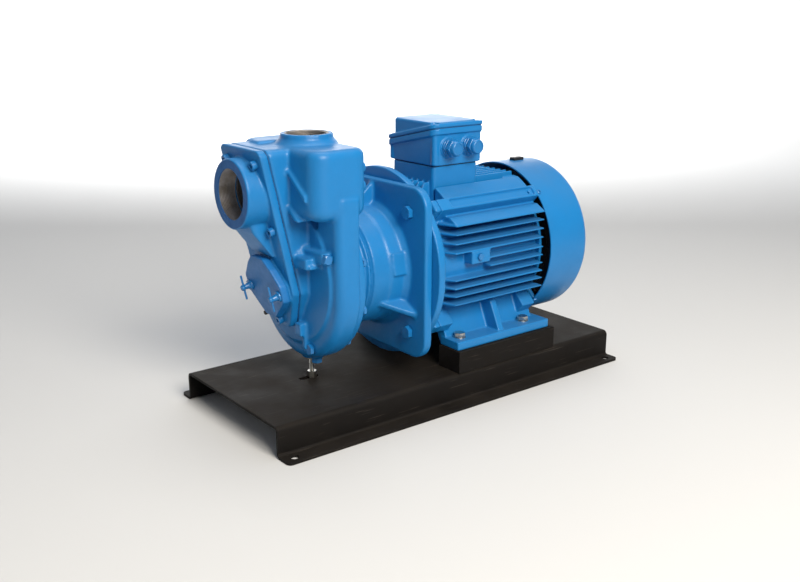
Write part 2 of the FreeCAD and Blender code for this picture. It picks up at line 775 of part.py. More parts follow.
def make_cleanout_cover():
    """Removable cover over the cleanout opening, with a locating plug and two screw holes."""
    front = -cleanout_seat_height - cleanout_thickness
    plate = cleanout_slab(0.0, front, -cleanout_seat_height)
    plate = rounded(plate, 1.2, lambda edge: edge.CenterOfMass.x < cover_x(edge.CenterOfMass.z, front + 0.5))
    plug = cylinder_at(cleanout_opening_radius - body_gap, 10,
                       cover_point(0, cleanout_z, -cleanout_seat_height - 1), cover_normal * -1)
    body = plate.fuse(plug)
    groove = cylinder_at(cleanout_opening_radius + 1, 3, cover_point(0, cleanout_z, 1.5), cover_normal * -1)
    groove = groove.cut(cylinder_at(cleanout_opening_radius - 2.6, 3, cover_point(0, cleanout_z, 1.5),
                                    cover_normal * -1))
    body = body.cut(groove)
    for side in (-1, 1):
        start = cover_point(side * t_screw_y, cleanout_z, front - 1)
        body = body.cut(cylinder_at(t_screw_radius + body_gap, cleanout_thickness + 4, start,
                                    cover_normal * -1))
    return body.removeSplitter()


def make_cleanout_ring():
    """O-ring in the groove of the cleanout cover's plug."""
    start = cover_point(0, cleanout_z, 1.6)
    ring = cylinder_at(cleanout_opening_radius - 0.1, 2.6, start, cover_normal * -1)
    return ring.cut(cylinder_at(cleanout_opening_radius - 2.6, 2.6, start, cover_normal * -1))


def make_t_screw(side):
    """Clamping screw: collar seated on the cleanout cover and a cross hole for its bar."""
    front = -cleanout_seat_height - cleanout_thickness
    seat = cover_point(side * t_screw_y, cleanout_z, front)
    collar = cylinder_at(t_screw_radius + 2.5, 4, seat, cover_normal)
    shank = cylinder_at(t_screw_radius, t_screw_reach, seat, cover_normal)
    shank = rounded(shank, 2.0, lambda edge: edge.CenterOfMass.x < seat.x - t_screw_reach * 0.9)
    stem = cylinder_at(t_screw_radius, cleanout_thickness + t_screw_depth - 2, seat, cover_normal * -1)
    body = collar.multiFuse([shank, stem])
    return body.cut(t_bar_shape(side, t_bar_radius + 0.02, 60)).removeSplitter()


def t_bar_shape(side, radius, length):
    """Round bar across the head of a clamping screw."""
    front = -cleanout_seat_height - cleanout_thickness
    seat = cover_point(side * t_screw_y, cleanout_z, front)
    centre = seat + cover_normal * (t_screw_reach - 4.5)
    direction = V(-math.sin(tilt), 0, math.cos(tilt))
    return cylinder_at(radius, length, centre - direction * (length / 2), direction)


def make_black_plugs():
    """Small black plug at the foot of the front cover and the block plugged into the fan cover's top."""
    seat = cover_point(knob_y, knob_z)
    thread = cylinder_at(knob_thread_radius, 8, seat, cover_normal * -1)
    cap = cylinder_at(knob_thread_radius + 0.5, 9, seat, cover_normal)
    knob = cylinder_at(knob_thread_radius + 2, 5, seat, cover_normal).multiFuse([thread, cap])
    half = cover_plug_width / 2
    x1 = cover_plug_x + cover_plug_length
    top = shaft_z + fan_cover_radius
    block = box(cover_plug_x, x1, -half, half, top - 2, top + cover_plug_height)
    block = rounded(block, 1.5, lambda edge: edge.BoundBox.ZMin > top + cover_plug_height - 0.1)
    block = block.cut(rod_x(cover_plug_x - 1, x1 + 1, fan_cover_radius))
    return group([knob.removeSplitter(), block.fuse(cover_plug_neck(0.0)).removeSplitter()])


def cover_plug_neck(grow):
    """Neck of the fan cover's plug, or with grow the slot it stands in."""
    top = shaft_z + fan_cover_radius
    return box(cover_plug_x + 4 - grow, cover_plug_x + cover_plug_length - 4 + grow,
               -cover_plug_width / 4 - grow, cover_plug_width / 4 + grow,
               top - fan_cover_sheet - 3 - grow, top + 0.5)


# Non-return flap, drawn in the tilted plane of the cover's rear face.
def flap_pin_x():
    """X of the hinge pin."""
    return cover_x(flap_pin_z, cover_thickness) + flap_pin_setback


def make_flap():
    """Rubber flap: disc over the bore with a tab to its hinge pin."""
    rear = cover_thickness
    face = body_gap
    centre = cover_point(0, suction_z, rear + face)
    disc = cylinder_at(flap_radius, flap_thickness, centre, cover_normal * -1)
    half = flap_tab_half_width
    top = flap_pin_z - 1.8
    tab = outline_prism([(-half, suction_z + 20), (-half, top), (half, top), (half, suction_z + 20)],
                        -340, -200, 1.0).common(tilted_slab(rear + face, rear + face + flap_thickness))
    eye_radius = flap_pin_setback * math.cos(tilt) - 2 * body_gap
    eye = rod_y(-half, half, eye_radius, flap_pin_x(), flap_pin_z)
    body = disc.multiFuse([tab, eye])
    hole = rod_y(-flap_pin_reach, flap_pin_reach, flap_pin_radius + fit_gap / 2, flap_pin_x(), flap_pin_z)
    return body.cut(hole).removeSplitter()


def make_flap_weights():
    """Steel disc riveted behind the flap."""
    start = cover_point(0, suction_z, cover_thickness + body_gap + flap_thickness)
    return cylinder_at(flap_weight_radius, flap_weight_thickness, start, cover_normal * -1)


def make_flap_pin():
    """Hinge pin carried between the bosses of the two top cover screws."""
    return rod_y(-flap_pin_reach, flap_pin_reach, flap_pin_radius, flap_pin_x(), flap_pin_z)


def make_wear_plate():
    """Replaceable plate in front of the vanes."""
    x0 = volute_front_x + casing_wall + 1
    return tube_x(x0 - 1, x0 - 1 + wear_plate_thickness, wear_plate_radius, eye_radius)


def vane_front_x():
    """Front edge of the vanes."""
    return volute_front_x + casing_wall + wear_plate_thickness + impeller_clearance


def make_impeller():
    """Semi-open impeller: back shroud, hub and backward curved vanes."""
    x0 = vane_front_x()
    x1 = x0 + impeller_vane_height
    shroud = rod_x(x1 - impeller_shroud, x1, impeller_radius)
    hub = turned([(x0 + 3, 0), (x0 + 3, 12), (x0 + 9, impeller_hub_radius), (x1, impeller_hub_radius),
                  (x1, 0)])
    vanes = [impeller_vane(x0, x1, degrees) for degrees in around_axis(impeller_vane_count)]
    body = shroud.multiFuse([hub] + vanes)
    bore = rod_x(x0 - 5, x1 + 5, impeller_bore_radius + bearing_gap)
    keyway = box(x0 - 5, x1 + 5, -3, 3, shaft_z, shaft_z + impeller_bore_radius + 3)
    return body.cut(bore.fuse(keyway)).removeSplitter()


def impeller_vane(x0, x1, degrees):
    """One vane: two arcs from the hub to the rim, swept along the shaft."""
    def at(radius, turn):
        y, z = polar(radius, degrees + turn)
        return V(x0, y, z)
    t = math.degrees(impeller_vane_thickness / impeller_radius)
    t_hub = math.degrees(impeller_vane_thickness / impeller_hub_radius)
    front = Part.Arc(at(impeller_hub_radius - 4, 0), at(52, 38), at(impeller_radius, 84)).toShape()
    rear = Part.Arc(at(impeller_radius, 84 + t), at(50, 38 + t * 1.6), at(impeller_hub_radius - 4, t_hub)).toShape()
    rim = Part.makeLine(at(impeller_radius, 84), at(impeller_radius, 84 + t))
    root = Part.makeLine(at(impeller_hub_radius - 4, t_hub), at(impeller_hub_radius - 4, 0))
    face = Part.Face(Part.Wire([front, rim, rear, root]))
    return face.extrude(V(x1 - x0, 0, 0))


def make_impeller_screw():
    """Screw and domed washer that hold the impeller on its shaft."""
    x0 = vane_front_x()
    cap = turned([(x0 - 4, 0), (x0 - 4, 8), (x0 - 1, 12), (x0 + 3, 12), (x0 + 3, 0)])
    stem = rod_x(x0 + 3, stub_shaft_front_x + 14, 5)
    return cap.multiFuse([stem, hexagon(13, 5, V(x0 - 4, 0, shaft_z), V(-1, 0, 0))]).removeSplitter()


def make_stub_shaft():
    """Hollow shaft clamped over the motor's shaft end, carrying seal and impeller."""
    x0 = vane_front_x() + 3
    x1 = vane_front_x() + impeller_vane_height
    profile = [(x0, 0), (x0, impeller_bore_radius), (x1, impeller_bore_radius), (x1, 17),
               (seal_wall_x + 26, 17), (seal_wall_x + 26, stub_shaft_radius),
               (stub_shaft_rear_x, stub_shaft_radius), (stub_shaft_rear_x, 0)]
    body = turned(profile)
    end_x = flange_face_x - drive_shaft_length
    body = body.cut(rod_x(end_x - 0.5, stub_shaft_rear_x + 1, drive_shaft_radius + fit_gap / 4))
    body = body.cut(key_block(0.05))
    body = body.cut(rod_x(x0 - 1, stub_shaft_front_x + 15, 5 + thread_gap))
    body = body.cut(small_key(0.05))
    return body.removeSplitter()


def key_block(grow=0.0):
    """Key between motor shaft and stub shaft."""
    x1 = flange_face_x - 14
    low = shaft_z + drive_shaft_radius - 5 - grow
    x0 = x1 - key_length
    return box(x0 - grow, x1 + grow, -key_width / 2 - grow, key_width / 2 + grow, low,
               low + key_height + 2 * grow)


def small_key(grow=0.0):
    """Key between stub shaft and impeller."""
    x1 = vane_front_x() + impeller_vane_height - 1
    low = shaft_z + impeller_bore_radius - 3.5 - grow
    return box(x1 - 12 - grow, x1 + grow, -3 - grow + 0.05, 3 + grow - 0.05, low, low + 6 + 2 * grow)


def make_seal_housing():
    """Rear wall of the volute with the seal chamber and the barrel that meets the lantern."""
    flange = rod_x(volute_rear_x, volute_rear_x + seal_flange_thickness, rear_flange_radius - 1)
    spigot = rod_x(volute_rear_x - 6, volute_rear_x, spigot_bore_radius - fit_gap)
    wall_end = volute_rear_x + seal_flange_thickness
    barrel = rod_x(wall_end - 1, seal_barrel_end_x, seal_barrel_radius)
    lip = rod_x(seal_barrel_end_x - 5, seal_barrel_end_x, lantern_drum_radius - 2)
    body = flange.multiFuse([spigot, barrel, lip])
    runner = vane_front_x() + impeller_vane_height + 1.2
    front_pocket = rod_x(volute_rear_x - 7, runner, impeller_radius + 4)
    hollow = rod_x(seal_pocket_end_x(), seal_barrel_end_x + 1, seal_barrel_radius - seal_barrel_wall)
    seal_bore = rod_x(runner - 1, seal_pocket_end_x(), 30)
    nose = rod_x(seal_pocket_end_x() - 5, seal_pocket_end_x() + 1, stub_shaft_radius + 3)
    groove = tube_x(volute_rear_x - 4.6, volute_rear_x - 1.4, spigot_bore_radius + 1, spigot_bore_radius - 3.1)
    body = body.cut(front_pocket.multiFuse([hollow, seal_bore, nose, groove]))
    for degrees in casing_bolt_angles():
        y, z = polar(casing_bolt_circle_radius, degrees)
        body = body.cut(rod_x(volute_rear_x - 1, wall_end + 1, casing_bolt_radius + fit_gap, y, z))
    return body.removeSplitter()


def seal_pocket_end_x():
    """Rear wall of the seal chamber."""
    return seal_wall_x + 24


def make_seal_oring():
    """O-ring on the seal housing's spigot."""
    x0 = volute_rear_x - 4.5
    return tube_x(x0, x0 + 3, spigot_bore_radius - 0.05, spigot_bore_radius - 3)


def make_casing_bolts():
    """Hexagon bolts from the seal housing into the casing."""
    seat_x = volute_rear_x + seal_flange_thickness
    bolts = []
    for degrees in casing_bolt_angles():
        y, z = polar(casing_bolt_circle_radius, degrees)
        bolts.append(hex_screw(casing_bolt_radius, 28, 13.0, 5.3, V(seat_x, y, z), AXIS_X))
    return group(bolts)


def make_seal_parts():
    """Stationary seat, rotating ring and spring of the shaft seal."""
    x1 = seal_pocket_end_x()
    seat = tube_x(x1 - 8, x1, 30 - fit_gap / 2, 18.2)
    ring = tube_x(x1 - 15, x1 - 8, 24.0, 17.0 + bearing_gap)
    spring = tube_x(x1 - 23, x1 - 15, 22.0, 17.0 + 0.4)
    return seat, ring, spring


def make_lantern():
    """Bracket: ribbed drum over the coupling with a square plate on the motor's flange."""
    x1 = flange_face_x
    x0 = x1 - lantern_plate_thickness
    half = lantern_plate_half
    plate = box(x0, x1, -half, half, shaft_z - half, shaft_z + half)
    plate = rounded(plate, lantern_plate_corner, lambda edge: along(edge, AXIS_X))
    plate = rounded(plate, 2.5, lambda edge: edge.BoundBox.XMax < x0 + 0.1 and edge.BoundBox.XLength < 0.01)
    drum = rod_x(lantern_drum_front_x, x0 + 1, lantern_drum_radius)
    band = rod_x(x0 - 31, x0 + 1, lantern_drum_radius + 1.5)
    fillet_ring = turned([(x0 - 8, 0), (x0 - 8, lantern_drum_radius + 1.5),
                          (x0 + 0.5, lantern_drum_radius + 10), (x0 + 0.5, 0)])
    pad_box = box(x0 - 28, x0 - 3, -17, 17, shaft_z + 60, shaft_z + lantern_drum_radius + 4)
    pad_box.rotate(V(0, 0, shaft_z), AXIS_X, 80)
    gussets = []
    for degrees in (90, 210, 330):
        web = prism([V(x0 - 44, -gusset_thickness / 2, shaft_z + lantern_drum_radius - 4),
                     V(x0 - 44, -gusset_thickness / 2, shaft_z + lantern_drum_radius + 1.5),
                     V(x0 + 1, -gusset_thickness / 2, shaft_z + half - 3),
                     V(x0 + 1, -gusset_thickness / 2, shaft_z + lantern_drum_radius - 4)],
                    V(0, gusset_thickness, 0))
        web.rotate(V(0, 0, shaft_z), AXIS_X, degrees - 90)
        gussets.append(web)
    spigot = rod_x(lantern_drum_front_x - 3.7, lantern_drum_front_x, seal_barrel_radius + 3)
    body = plate.multiFuse([drum, band, fillet_ring, pad_box, spigot] + gussets)
    hollow = rod_x(lantern_drum_front_x - 5, x1 + 1, lantern_drum_radius - lantern_drum_wall)
    pilot = rod_x(x1 - spigot_depth - 0.5, x1 + 1, spigot_radius + fit_gap)
    body = body.cut(hollow.fuse(pilot))
    for y, z in flange_bolt_places():
        body = body.cut(rod_x(x0 - 1, x1 + 1, flange_bolt_radius + 0.5, y, z))
    return body.removeSplitter()


def flange_bolt_places():
    """(y, z) of the four bolts that hold the bracket to the motor flange."""
    return [polar(flange_bolt_circle / 2, degrees) for degrees in (45, 135, 225, 315)]


def make_flange_bolts():
    """Bracket bolts, headed on the pump side."""
    seat_x = flange_face_x - lantern_plate_thickness
    length = lantern_plate_thickness + flange_thickness + flange_bolt_tail
    return group([hex_screw(flange_bolt_radius, length, 18.0, 7.5, V(seat_x, y, z), V(-1, 0, 0))
                  for y, z in flange_bolt_places()])


def make_support_stud():
    """Stud that steadies the casing on the baseplate."""
    return rod_z(base_height - base_sheet - 14, casing_foot_z + 12, stud_radius, stud_x, 0)


def make_support_nuts():
    """Washer and nut pairs above and below the baseplate, and a locknut under the casing."""
    up = V(stud_x, 0, base_height)
    down = V(stud_x, 0, base_height - base_sheet)
    pieces = []
    for seat, direction in ((up, AXIS_Z), (down, V(0, 0, -1))):
        pieces.append(washer(11, 5.05, 2, seat, direction))
        nut = hexagon(16, 8, seat + direction * 2, direction)
        pieces.append(nut.cut(cylinder_at(5.05, 12, seat, direction)))
    lock = hexagon(16, 5, V(stud_x, 0, casing_foot_z - 5), AXIS_Z)
    pieces.append(lock.cut(cylinder_at(5.05, 6, V(stud_x, 0, casing_foot_z - 5.5), AXIS_Z)))
    return group(pieces)


def make_drain_plug():
    """Hexagon drain plug under the volute."""
    return hex_screw(plug_radius, 9, plug_flats, 7, V(drain_x, drain_y, drain_face_z), V(0, 0, -1))


def make_casing_plugs():
    """Hexagon plugs on the near side of the casing and low on the front of the volute."""
    side = hex_screw(plug_radius, side_plug_depth - 2, plug_flats, 8,
                     V(side_plug_x, side_plug_y, side_plug_z), V(0, -1, 0))
    side.rotate(V(side_plug_x, 0, side_plug_z), AXIS_Y, 30)
    low = hex_screw(plug_radius, 8, plug_flats, 6, V(volute_front_x, lower_plug_y, lower_plug_z), V(-1, 0, 0))
    return group([side, low])


def drafted_fin(x0, x1, offset, tip, turn, sweep=0.0):
    """Fin on the frame's shell that thins to its tip, turned about the shaft, its front end swept back."""
    root = math.sqrt(frame_shell_radius ** 2 - offset ** 2) - fin_root_thickness
    a, b = fin_root_thickness / 2, fin_tip_thickness / 2
    body = prism([V(x0, offset - a, shaft_z + root), V(x0, offset - b, shaft_z + tip),
                  V(x0, offset + b, shaft_z + tip), V(x0, offset + a, shaft_z + root)], V(x1 - x0, 0, 0))
    if sweep:
        past = shaft_z + tip + 1
        nose = prism([V(x0 - 1, -cut_reach, shaft_z + root), V(x0 + sweep, -cut_reach, past),
                      V(x0 - 1, -cut_reach, past)], V(0, 2 * cut_reach, 0))
        body = body.cut(nose)
    body.rotate(V(0, 0, shaft_z), AXIS_X, turn)
    return body


def frame_fins():
    """Fins of both sides, of the top and of the underside; two near ones start behind the earth pad."""
    x0, x1 = frame_front_x + 4, frame_rear_x - fin_end_inset
    pad_end = earth_x + 24
    fins = []
    for rise in side_fin_rises:
        beside_pad = abs(rise - earth_rise) < 20 and rise < side_fin_rises[3]
        start, sweep = (pad_end, 0.0) if beside_pad else (x0, fin_sweep)
        fins.append(drafted_fin(start, x1, rise, side_fin_reach, 90, sweep))
        fins.append(drafted_fin(x0, x1, -rise, side_fin_reach, -90, fin_sweep))
    for k in range(-3, 4):
        fins.append(drafted_fin(x0, x1, k * top_fin_pitch, top_fin_reach, 0, fin_sweep))
        if abs(k) < 3:
            fins.append(drafted_fin(x0, x1, k * top_fin_pitch, low_fin_reach, 180, fin_sweep))
    return fins


def frame_blocks():
    """Blocks in line with the drive shield's lugs: long and recessed above, short at both ends below."""
    x0, x1 = frame_front_x, frame_rear_x - fin_end_inset
    low, high = shaft_z + core_radius + 4, shaft_z + block_reach
    half = block_half_width
    blocks = []
    for turn in (-45, 45):
        block = box(x0, x1, -half, half, low, high)
        recess = box(x0 + 24, x1 - 6, -half + 3.5, half - 3.5, high - block_recess_depth, high + 1)
        recess = rounded(recess, 3.0, lambda edge: along(edge, AXIS_Z))
        block = block.cut(recess).cut(rod_z(high - 14, high, 2.6, x1 - 14, 0))
        block.rotate(V(0, 0, shaft_z), AXIS_X, turn)
        blocks.append(block)
    for turn in (-135, 135):
        for start in (x0, x1 - short_block_length):
            block = box(start, start + short_block_length, -half, half, low, high)
            block.rotate(V(0, 0, shaft_z), AXIS_X, turn)
            blocks.append(block)
    return blocks


def frame_shoulders():
    """Smooth shoulders from the pedestal's foot to the long blocks, and the wedge over the top fins."""
    x1 = frame_rear_x - fin_end_inset
    low = core_radius - 12
    high = block_reach
    disc = rod_x(shoulder_front_x, x1, shoulder_radius)
    pieces = []
    for side in (-1, 1):
        sector = prism([V(shoulder_front_x, side * shoulder_inner_y, shaft_z + low),
                        V(shoulder_front_x, side * shoulder_inner_y, shaft_z + high),
                        V(shoulder_front_x, side * high, shaft_z + high),
                        V(shoulder_front_x, side * low, shaft_z + low)], V(x1 - shoulder_front_x, 0, 0))
        pieces.append(disc.common(sector))
        rise = side_fin_rises[0]
        tip = fin_tip_thickness / 2
        start = frame_front_x + 4 + fin_sweep
        wedge = prism([V(start, side * side_fin_reach, shaft_z + rise - tip),
                       V(start, side * side_fin_reach, shaft_z + rise + tip),
                       V(start, side * (side_fin_reach - 18), shaft_z + rise + 11),
                       V(start, side * (core_radius - 10), shaft_z + rise + 11),
                       V(start, side * (core_radius - 10), shaft_z + rise - tip)], V(x1 - start, 0, 0))
        pieces.append(wedge)
    return pieces


def box_window(z0, z1):
    """Cable passage from the terminal box into the frame."""
    middle = box_front_x + box_length / 2
    return box(middle - box_window_length / 2, middle + box_window_length / 2, -box_window_half_width,
               box_window_half_width, z0, z1)


def make_stator_frame():
    """Finned motor housing with feet, blocks, shoulders and the terminal box pedestal."""
    x0, x1 = frame_front_x, frame_rear_x
    shell = rod_x(x0, x1, frame_shell_radius)
    collar = rod_x(x0, x0 + 5, drive_bolt_circle_radius - 15)
    earth_pad = box(earth_x - 16, earth_x + 22, -(side_fin_reach + 1), -core_radius, shaft_z + 2, shaft_z + 25)
    pedestal = box(box_front_x + pedestal_inset_x, box_front_x + box_length - pedestal_inset_x,
                   -box_width / 2 + pedestal_inset_y, box_width / 2 - pedestal_inset_y,
                   shaft_z + core_radius - 8, box_base_z - gasket_thickness)
    pedestal = rounded(pedestal, 6, lambda edge: along(edge, AXIS_Z))
    rear_lugs = []
    for degrees in rear_bolt_angles:
        y, z = polar(rear_bolt_circle_radius, degrees)
        rear_lugs.append(rod_x(x1 - 22, x1, shield_bolt_radius + 7, y, z))
    feet = [make_foot(side) for side in (-1, 1)]
    extras = frame_blocks() + frame_shoulders() + rear_lugs + feet + [collar, earth_pad, pedestal]
    body = shell.multiFuse(frame_fins() + extras)
    bore = rod_x(x0 - 1, x1 + 1, core_radius + bearing_gap)
    cuts = [bore, box_window(shaft_z + 60, box_base_z + 1),
            rod_y(-side_fin_reach - 2, -side_fin_reach + 9, 3 + thread_gap, earth_x, earth_z)]
    for degrees in drive_bolt_angles:
        y, z = polar(drive_bolt_circle_radius, degrees)
        cuts.append(rod_x(x0 - 1, x0 + 20, shield_bolt_radius + thread_gap, y, z))
    for degrees in rear_bolt_angles:
        y, z = polar(rear_bolt_circle_radius, degrees)
        cuts.append(rod_x(x1 - 20, x1 + 1, shield_bolt_radius + thread_gap, y, z))
    return body.cut(cuts[0].multiFuse(cuts[1:])).removeSplitter()


def make_foot(side):
    """Cast foot rail with the web that leans in to the frame and the rib across its middle."""
    z0 = riser_top_z
    top = z0 + foot_thickness
    x0, x1 = foot_front_x, foot_front_x + foot_length
    y0, y1 = sorted((side * foot_inner_y, side * foot_outer_y))
    rail = box(x0, x1, y0, y1, z0, top)
    rail = rounded(rail, 2.5, lambda edge: along(edge, AXIS_Z))
    foot_y = foot_inner_y + foot_web_width
    web = prism([V(x0 + 1, side * foot_inner_y, z0), V(x0 + 1, side * foot_y, z0),
                 V(x0 + 1, side * foot_y, top + 0.5), V(x0 + 1, side * (foot_y - 23), shaft_z - 66),
                 V(x0 + 1, side * (foot_y - 39), shaft_z - 80)], V(foot_web_length, 0, 0))
    rib_y = foot_outer_y - foot_rib_setback
    rib = prism([V(foot_rib_x, side * (foot_inner_y + 6), z0 + 2), V(foot_rib_x, side * rib_y, z0 + 2),
                 V(foot_rib_x, side * rib_y, top + 2), V(foot_rib_x, side * (rib_y - 21), shaft_z - 72),
                 V(foot_rib_x, side * (foot_y - 25), shaft_z - 62)], V(foot_rib_thickness, 0, 0))
    body = rail.multiFuse([web, rib])
    for x, y in foot_holes():
        if y * side > 0:
            body = body.cut(rod_z(z0 - 1, top + 1, foot_hole_radius, x, y))
    return body


def make_drive_shield():
    """Drive end shield with the mounting flange, the bearing seat and four square lugs."""
    x0 = flange_face_x
    xf = frame_front_x
    seat = drive_bearing_x
    wall_x = x0 + flange_thickness + 4
    neck = drive_bolt_circle_radius - 10
    inner = core_radius - 7
    outer = [(x0, spigot_radius), (x0, flange_radius), (x0 + flange_thickness, flange_radius),
             (x0 + flange_thickness, neck), (xf, neck - 5), (xf, core_radius - 1), (xf + 6, core_radius - 1),
             (xf + 6, inner), (wall_x, inner), (wall_x, bearing_outer_radius + 12),
             (seat + bearing_width + 4, bearing_outer_radius + 8),
             (seat + bearing_width + 4, bearing_outer_radius + bearing_gap),
             (seat, bearing_outer_radius + bearing_gap), (seat, 34), (seat - 7, 34),
             (seat - 7, drive_shaft_radius + 1.5), (x0 - spigot_depth, drive_shaft_radius + 1.5),
             (x0 - spigot_depth, spigot_radius)]
    lugs = []
    for degrees in drive_bolt_angles:
        lug = box(xf - drive_lug_length, xf, -block_half_width, block_half_width, shaft_z + core_radius + 8,
                  shaft_z + block_reach)
        lug.rotate(V(0, 0, shaft_z), AXIS_X, degrees - 90)
        lugs.append(lug)
    body = turned(outer).multiFuse(lugs)
    for y, z in flange_bolt_places():
        body = body.cut(rod_x(x0 - 5, x0 + flange_thickness + 1, flange_bolt_radius + thread_gap, y, z))
    for degrees in drive_bolt_angles:
        y, z = polar(drive_bolt_circle_radius, degrees)
        body = body.cut(rod_x(xf - drive_lug_length - 1, xf + 1, shield_bolt_radius + fit_gap, y, z))
    return body.removeSplitter()


def make_rear_shield():
    """Rear end shield with its bearing seat and the lugs of the fan cover."""
    x0 = frame_rear_x
    x1 = x0 + shield_wall
    front = rear_bearing_x - 6
    back = rear_bearing_x + bearing_width + wave_washer_thickness
    hub = bearing_outer_radius + 8
    seat = bearing_outer_radius + bearing_gap
    profile = [(x0 - 6, core_radius - 1), (x0, core_radius - 1), (x0, rear_bolt_circle_radius),
               (x1, rear_shield_radius()), (x1, hub + 2), (back + 3.5, hub - 2),
               (back + 3.5, bearing_bore_radius + 3), (back, bearing_bore_radius + 3),
               (back, seat), (front, seat), (front, hub), (x0, hub + 4), (x0, core_radius - 8),
               (x0 - 6, core_radius - 8)]
    pads = []
    holes = []
    for degrees in rear_bolt_angles:
        y, z = polar(rear_bolt_circle_radius, degrees)
        pads.append(rod_x(x0, x1, shield_bolt_radius + 6, y, z))
        holes.append(rod_x(x0 - 1, x1 + 1, shield_bolt_radius + fit_gap, y, z))
    body = turned(profile).multiFuse(pads + make_cover_lugs())
    return body.cut(holes[0].multiFuse(holes[1:])).removeSplitter()


def rear_shield_radius():
    """Outer radius of the rear shield at its back face."""
    return rear_bolt_circle_radius - 4


def make_shield_bolts():
    """Bolts of both end shields."""
    bolts = []
    for degrees in drive_bolt_angles:
        y, z = polar(drive_bolt_circle_radius, degrees)
        bolts.append(hex_screw(shield_bolt_radius, drive_lug_length + 16, 13.0, 5.3,
                               V(frame_front_x - drive_lug_length, y, z), V(-1, 0, 0)))
    for degrees in rear_bolt_angles:
        y, z = polar(rear_bolt_circle_radius, degrees)
        bolts.append(hex_screw(shield_bolt_radius, shield_wall + 17, 13.0, 5.3,
                               V(frame_rear_x + shield_wall, y, z), AXIS_X))
    return group(bolts)


def make_core_and_windings():
    """Laminated stator core and the two winding overhangs."""
    x1 = core_front_x + core_length
    core = tube_x(core_front_x, x1, core_radius, core_bore_radius)
    inner = core_bore_radius + 4
    rings = []
    for start in (core_front_x - winding_overhang, x1):
        rings.append(tube_x(start, start + winding_overhang, inner + winding_thickness, inner))
    return core, group(rings)


def make_rotor_core():
    """Rotor core with its end rings."""
    x1 = core_front_x + core_length
    body = tube_x(core_front_x, x1, core_bore_radius - air_gap, shaft_body_radius)
    for start in (core_front_x - 12, x1):
        body = body.fuse(tube_x(start, start + 12, 54, 38))
    return body.removeSplitter()


def make_motor_shaft():
    """Motor shaft with drive end, bearing seats and fan seat."""
    end = flange_face_x - drive_shaft_length
    shoulder = drive_bearing_x + bearing_width
    rear = rear_bearing_x
    profile = [(end, 0), (end, drive_shaft_radius - 1), (end + 1, drive_shaft_radius),
               (flange_face_x, drive_shaft_radius), (drive_bearing_x - 8, drive_shaft_radius),
               (drive_bearing_x - 8, bearing_bore_radius - bearing_gap), (shoulder, bearing_bore_radius - bearing_gap),
               (shoulder, shaft_body_radius - bearing_gap), (rear, shaft_body_radius - bearing_gap),
               (rear, bearing_bore_radius - bearing_gap), (rear + bearing_width + 2, bearing_bore_radius - bearing_gap),
               (rear + bearing_width + 2, fan_seat_radius), (rear + bearing_width + 2 + fan_seat_length, fan_seat_radius),
               (rear + bearing_width + 2 + fan_seat_length, 0)]
    return turned(profile).cut(key_block(0.05)).removeSplitter()


def make_bearing(x0):
    """Outer ring, inner ring and ball set of one deep groove bearing."""
    pitch = (bearing_bore_radius + bearing_outer_radius) / 2
    x1 = x0 + bearing_width
    middle = x0 + bearing_width / 2
    outer = tube_x(x0, x1, bearing_outer_radius, bearing_outer_radius - bearing_ring_wall)
    inner = tube_x(x0, x1, bearing_bore_radius + bearing_ring_wall, bearing_bore_radius)
    groove = Part.makeTorus(pitch, bearing_ball_radius + 0.12, V(middle, 0, shaft_z), AXIS_X)
    outer = outer.cut(groove)
    inner = inner.cut(groove)
    cage = tube_x(middle - 2.2, middle + 2.2, pitch + 2.0, pitch - 2.0)
    balls = []
    for degrees in around_axis(bearing_ball_count):
        y, z = polar(pitch, degrees)
        cage = cage.cut(Part.makeSphere(bearing_ball_radius + 0.02, V(middle, y, z)))
        balls.append(Part.makeSphere(bearing_ball_radius, V(middle, y, z)))
    return outer, inner, group(balls + [cage])


def make_wave_washer():
    """Preload washer behind the rear bearing's outer ring."""
    x0 = rear_bearing_x + bearing_width
    return tube_x(x0, x0 + wave_washer_thickness, bearing_outer_radius - 0.5,
                  bearing_outer_radius - bearing_ring_wall)


def fan_front_x():
    """Front of the fan's backplate."""
    return rear_bearing_x + bearing_width + 8


def make_fan():
    """Radial fan: hub, plate and straight blades."""
    x0 = fan_front_x()
    plate = rod_x(x0, x0 + fan_plate_thickness, fan_radius - 12)
    hub = rod_x(x0, x0 + fan_blade_depth, fan_hub_radius)
    blades = []
    for degrees in around_axis(fan_blade_count):
        blade = box(x0, x0 + fan_blade_depth, -1.75, 1.75, shaft_z + fan_hub_radius - 2, shaft_z + fan_radius)
        blade.rotate(V(0, 0, shaft_z), AXIS_X, degrees)
        blades.append(blade)
    body = plate.multiFuse([hub] + blades)
    return body.cut(rod_x(x0 - 1, x0 + fan_blade_depth + 1, fan_seat_radius + bearing_gap)).removeSplitter()


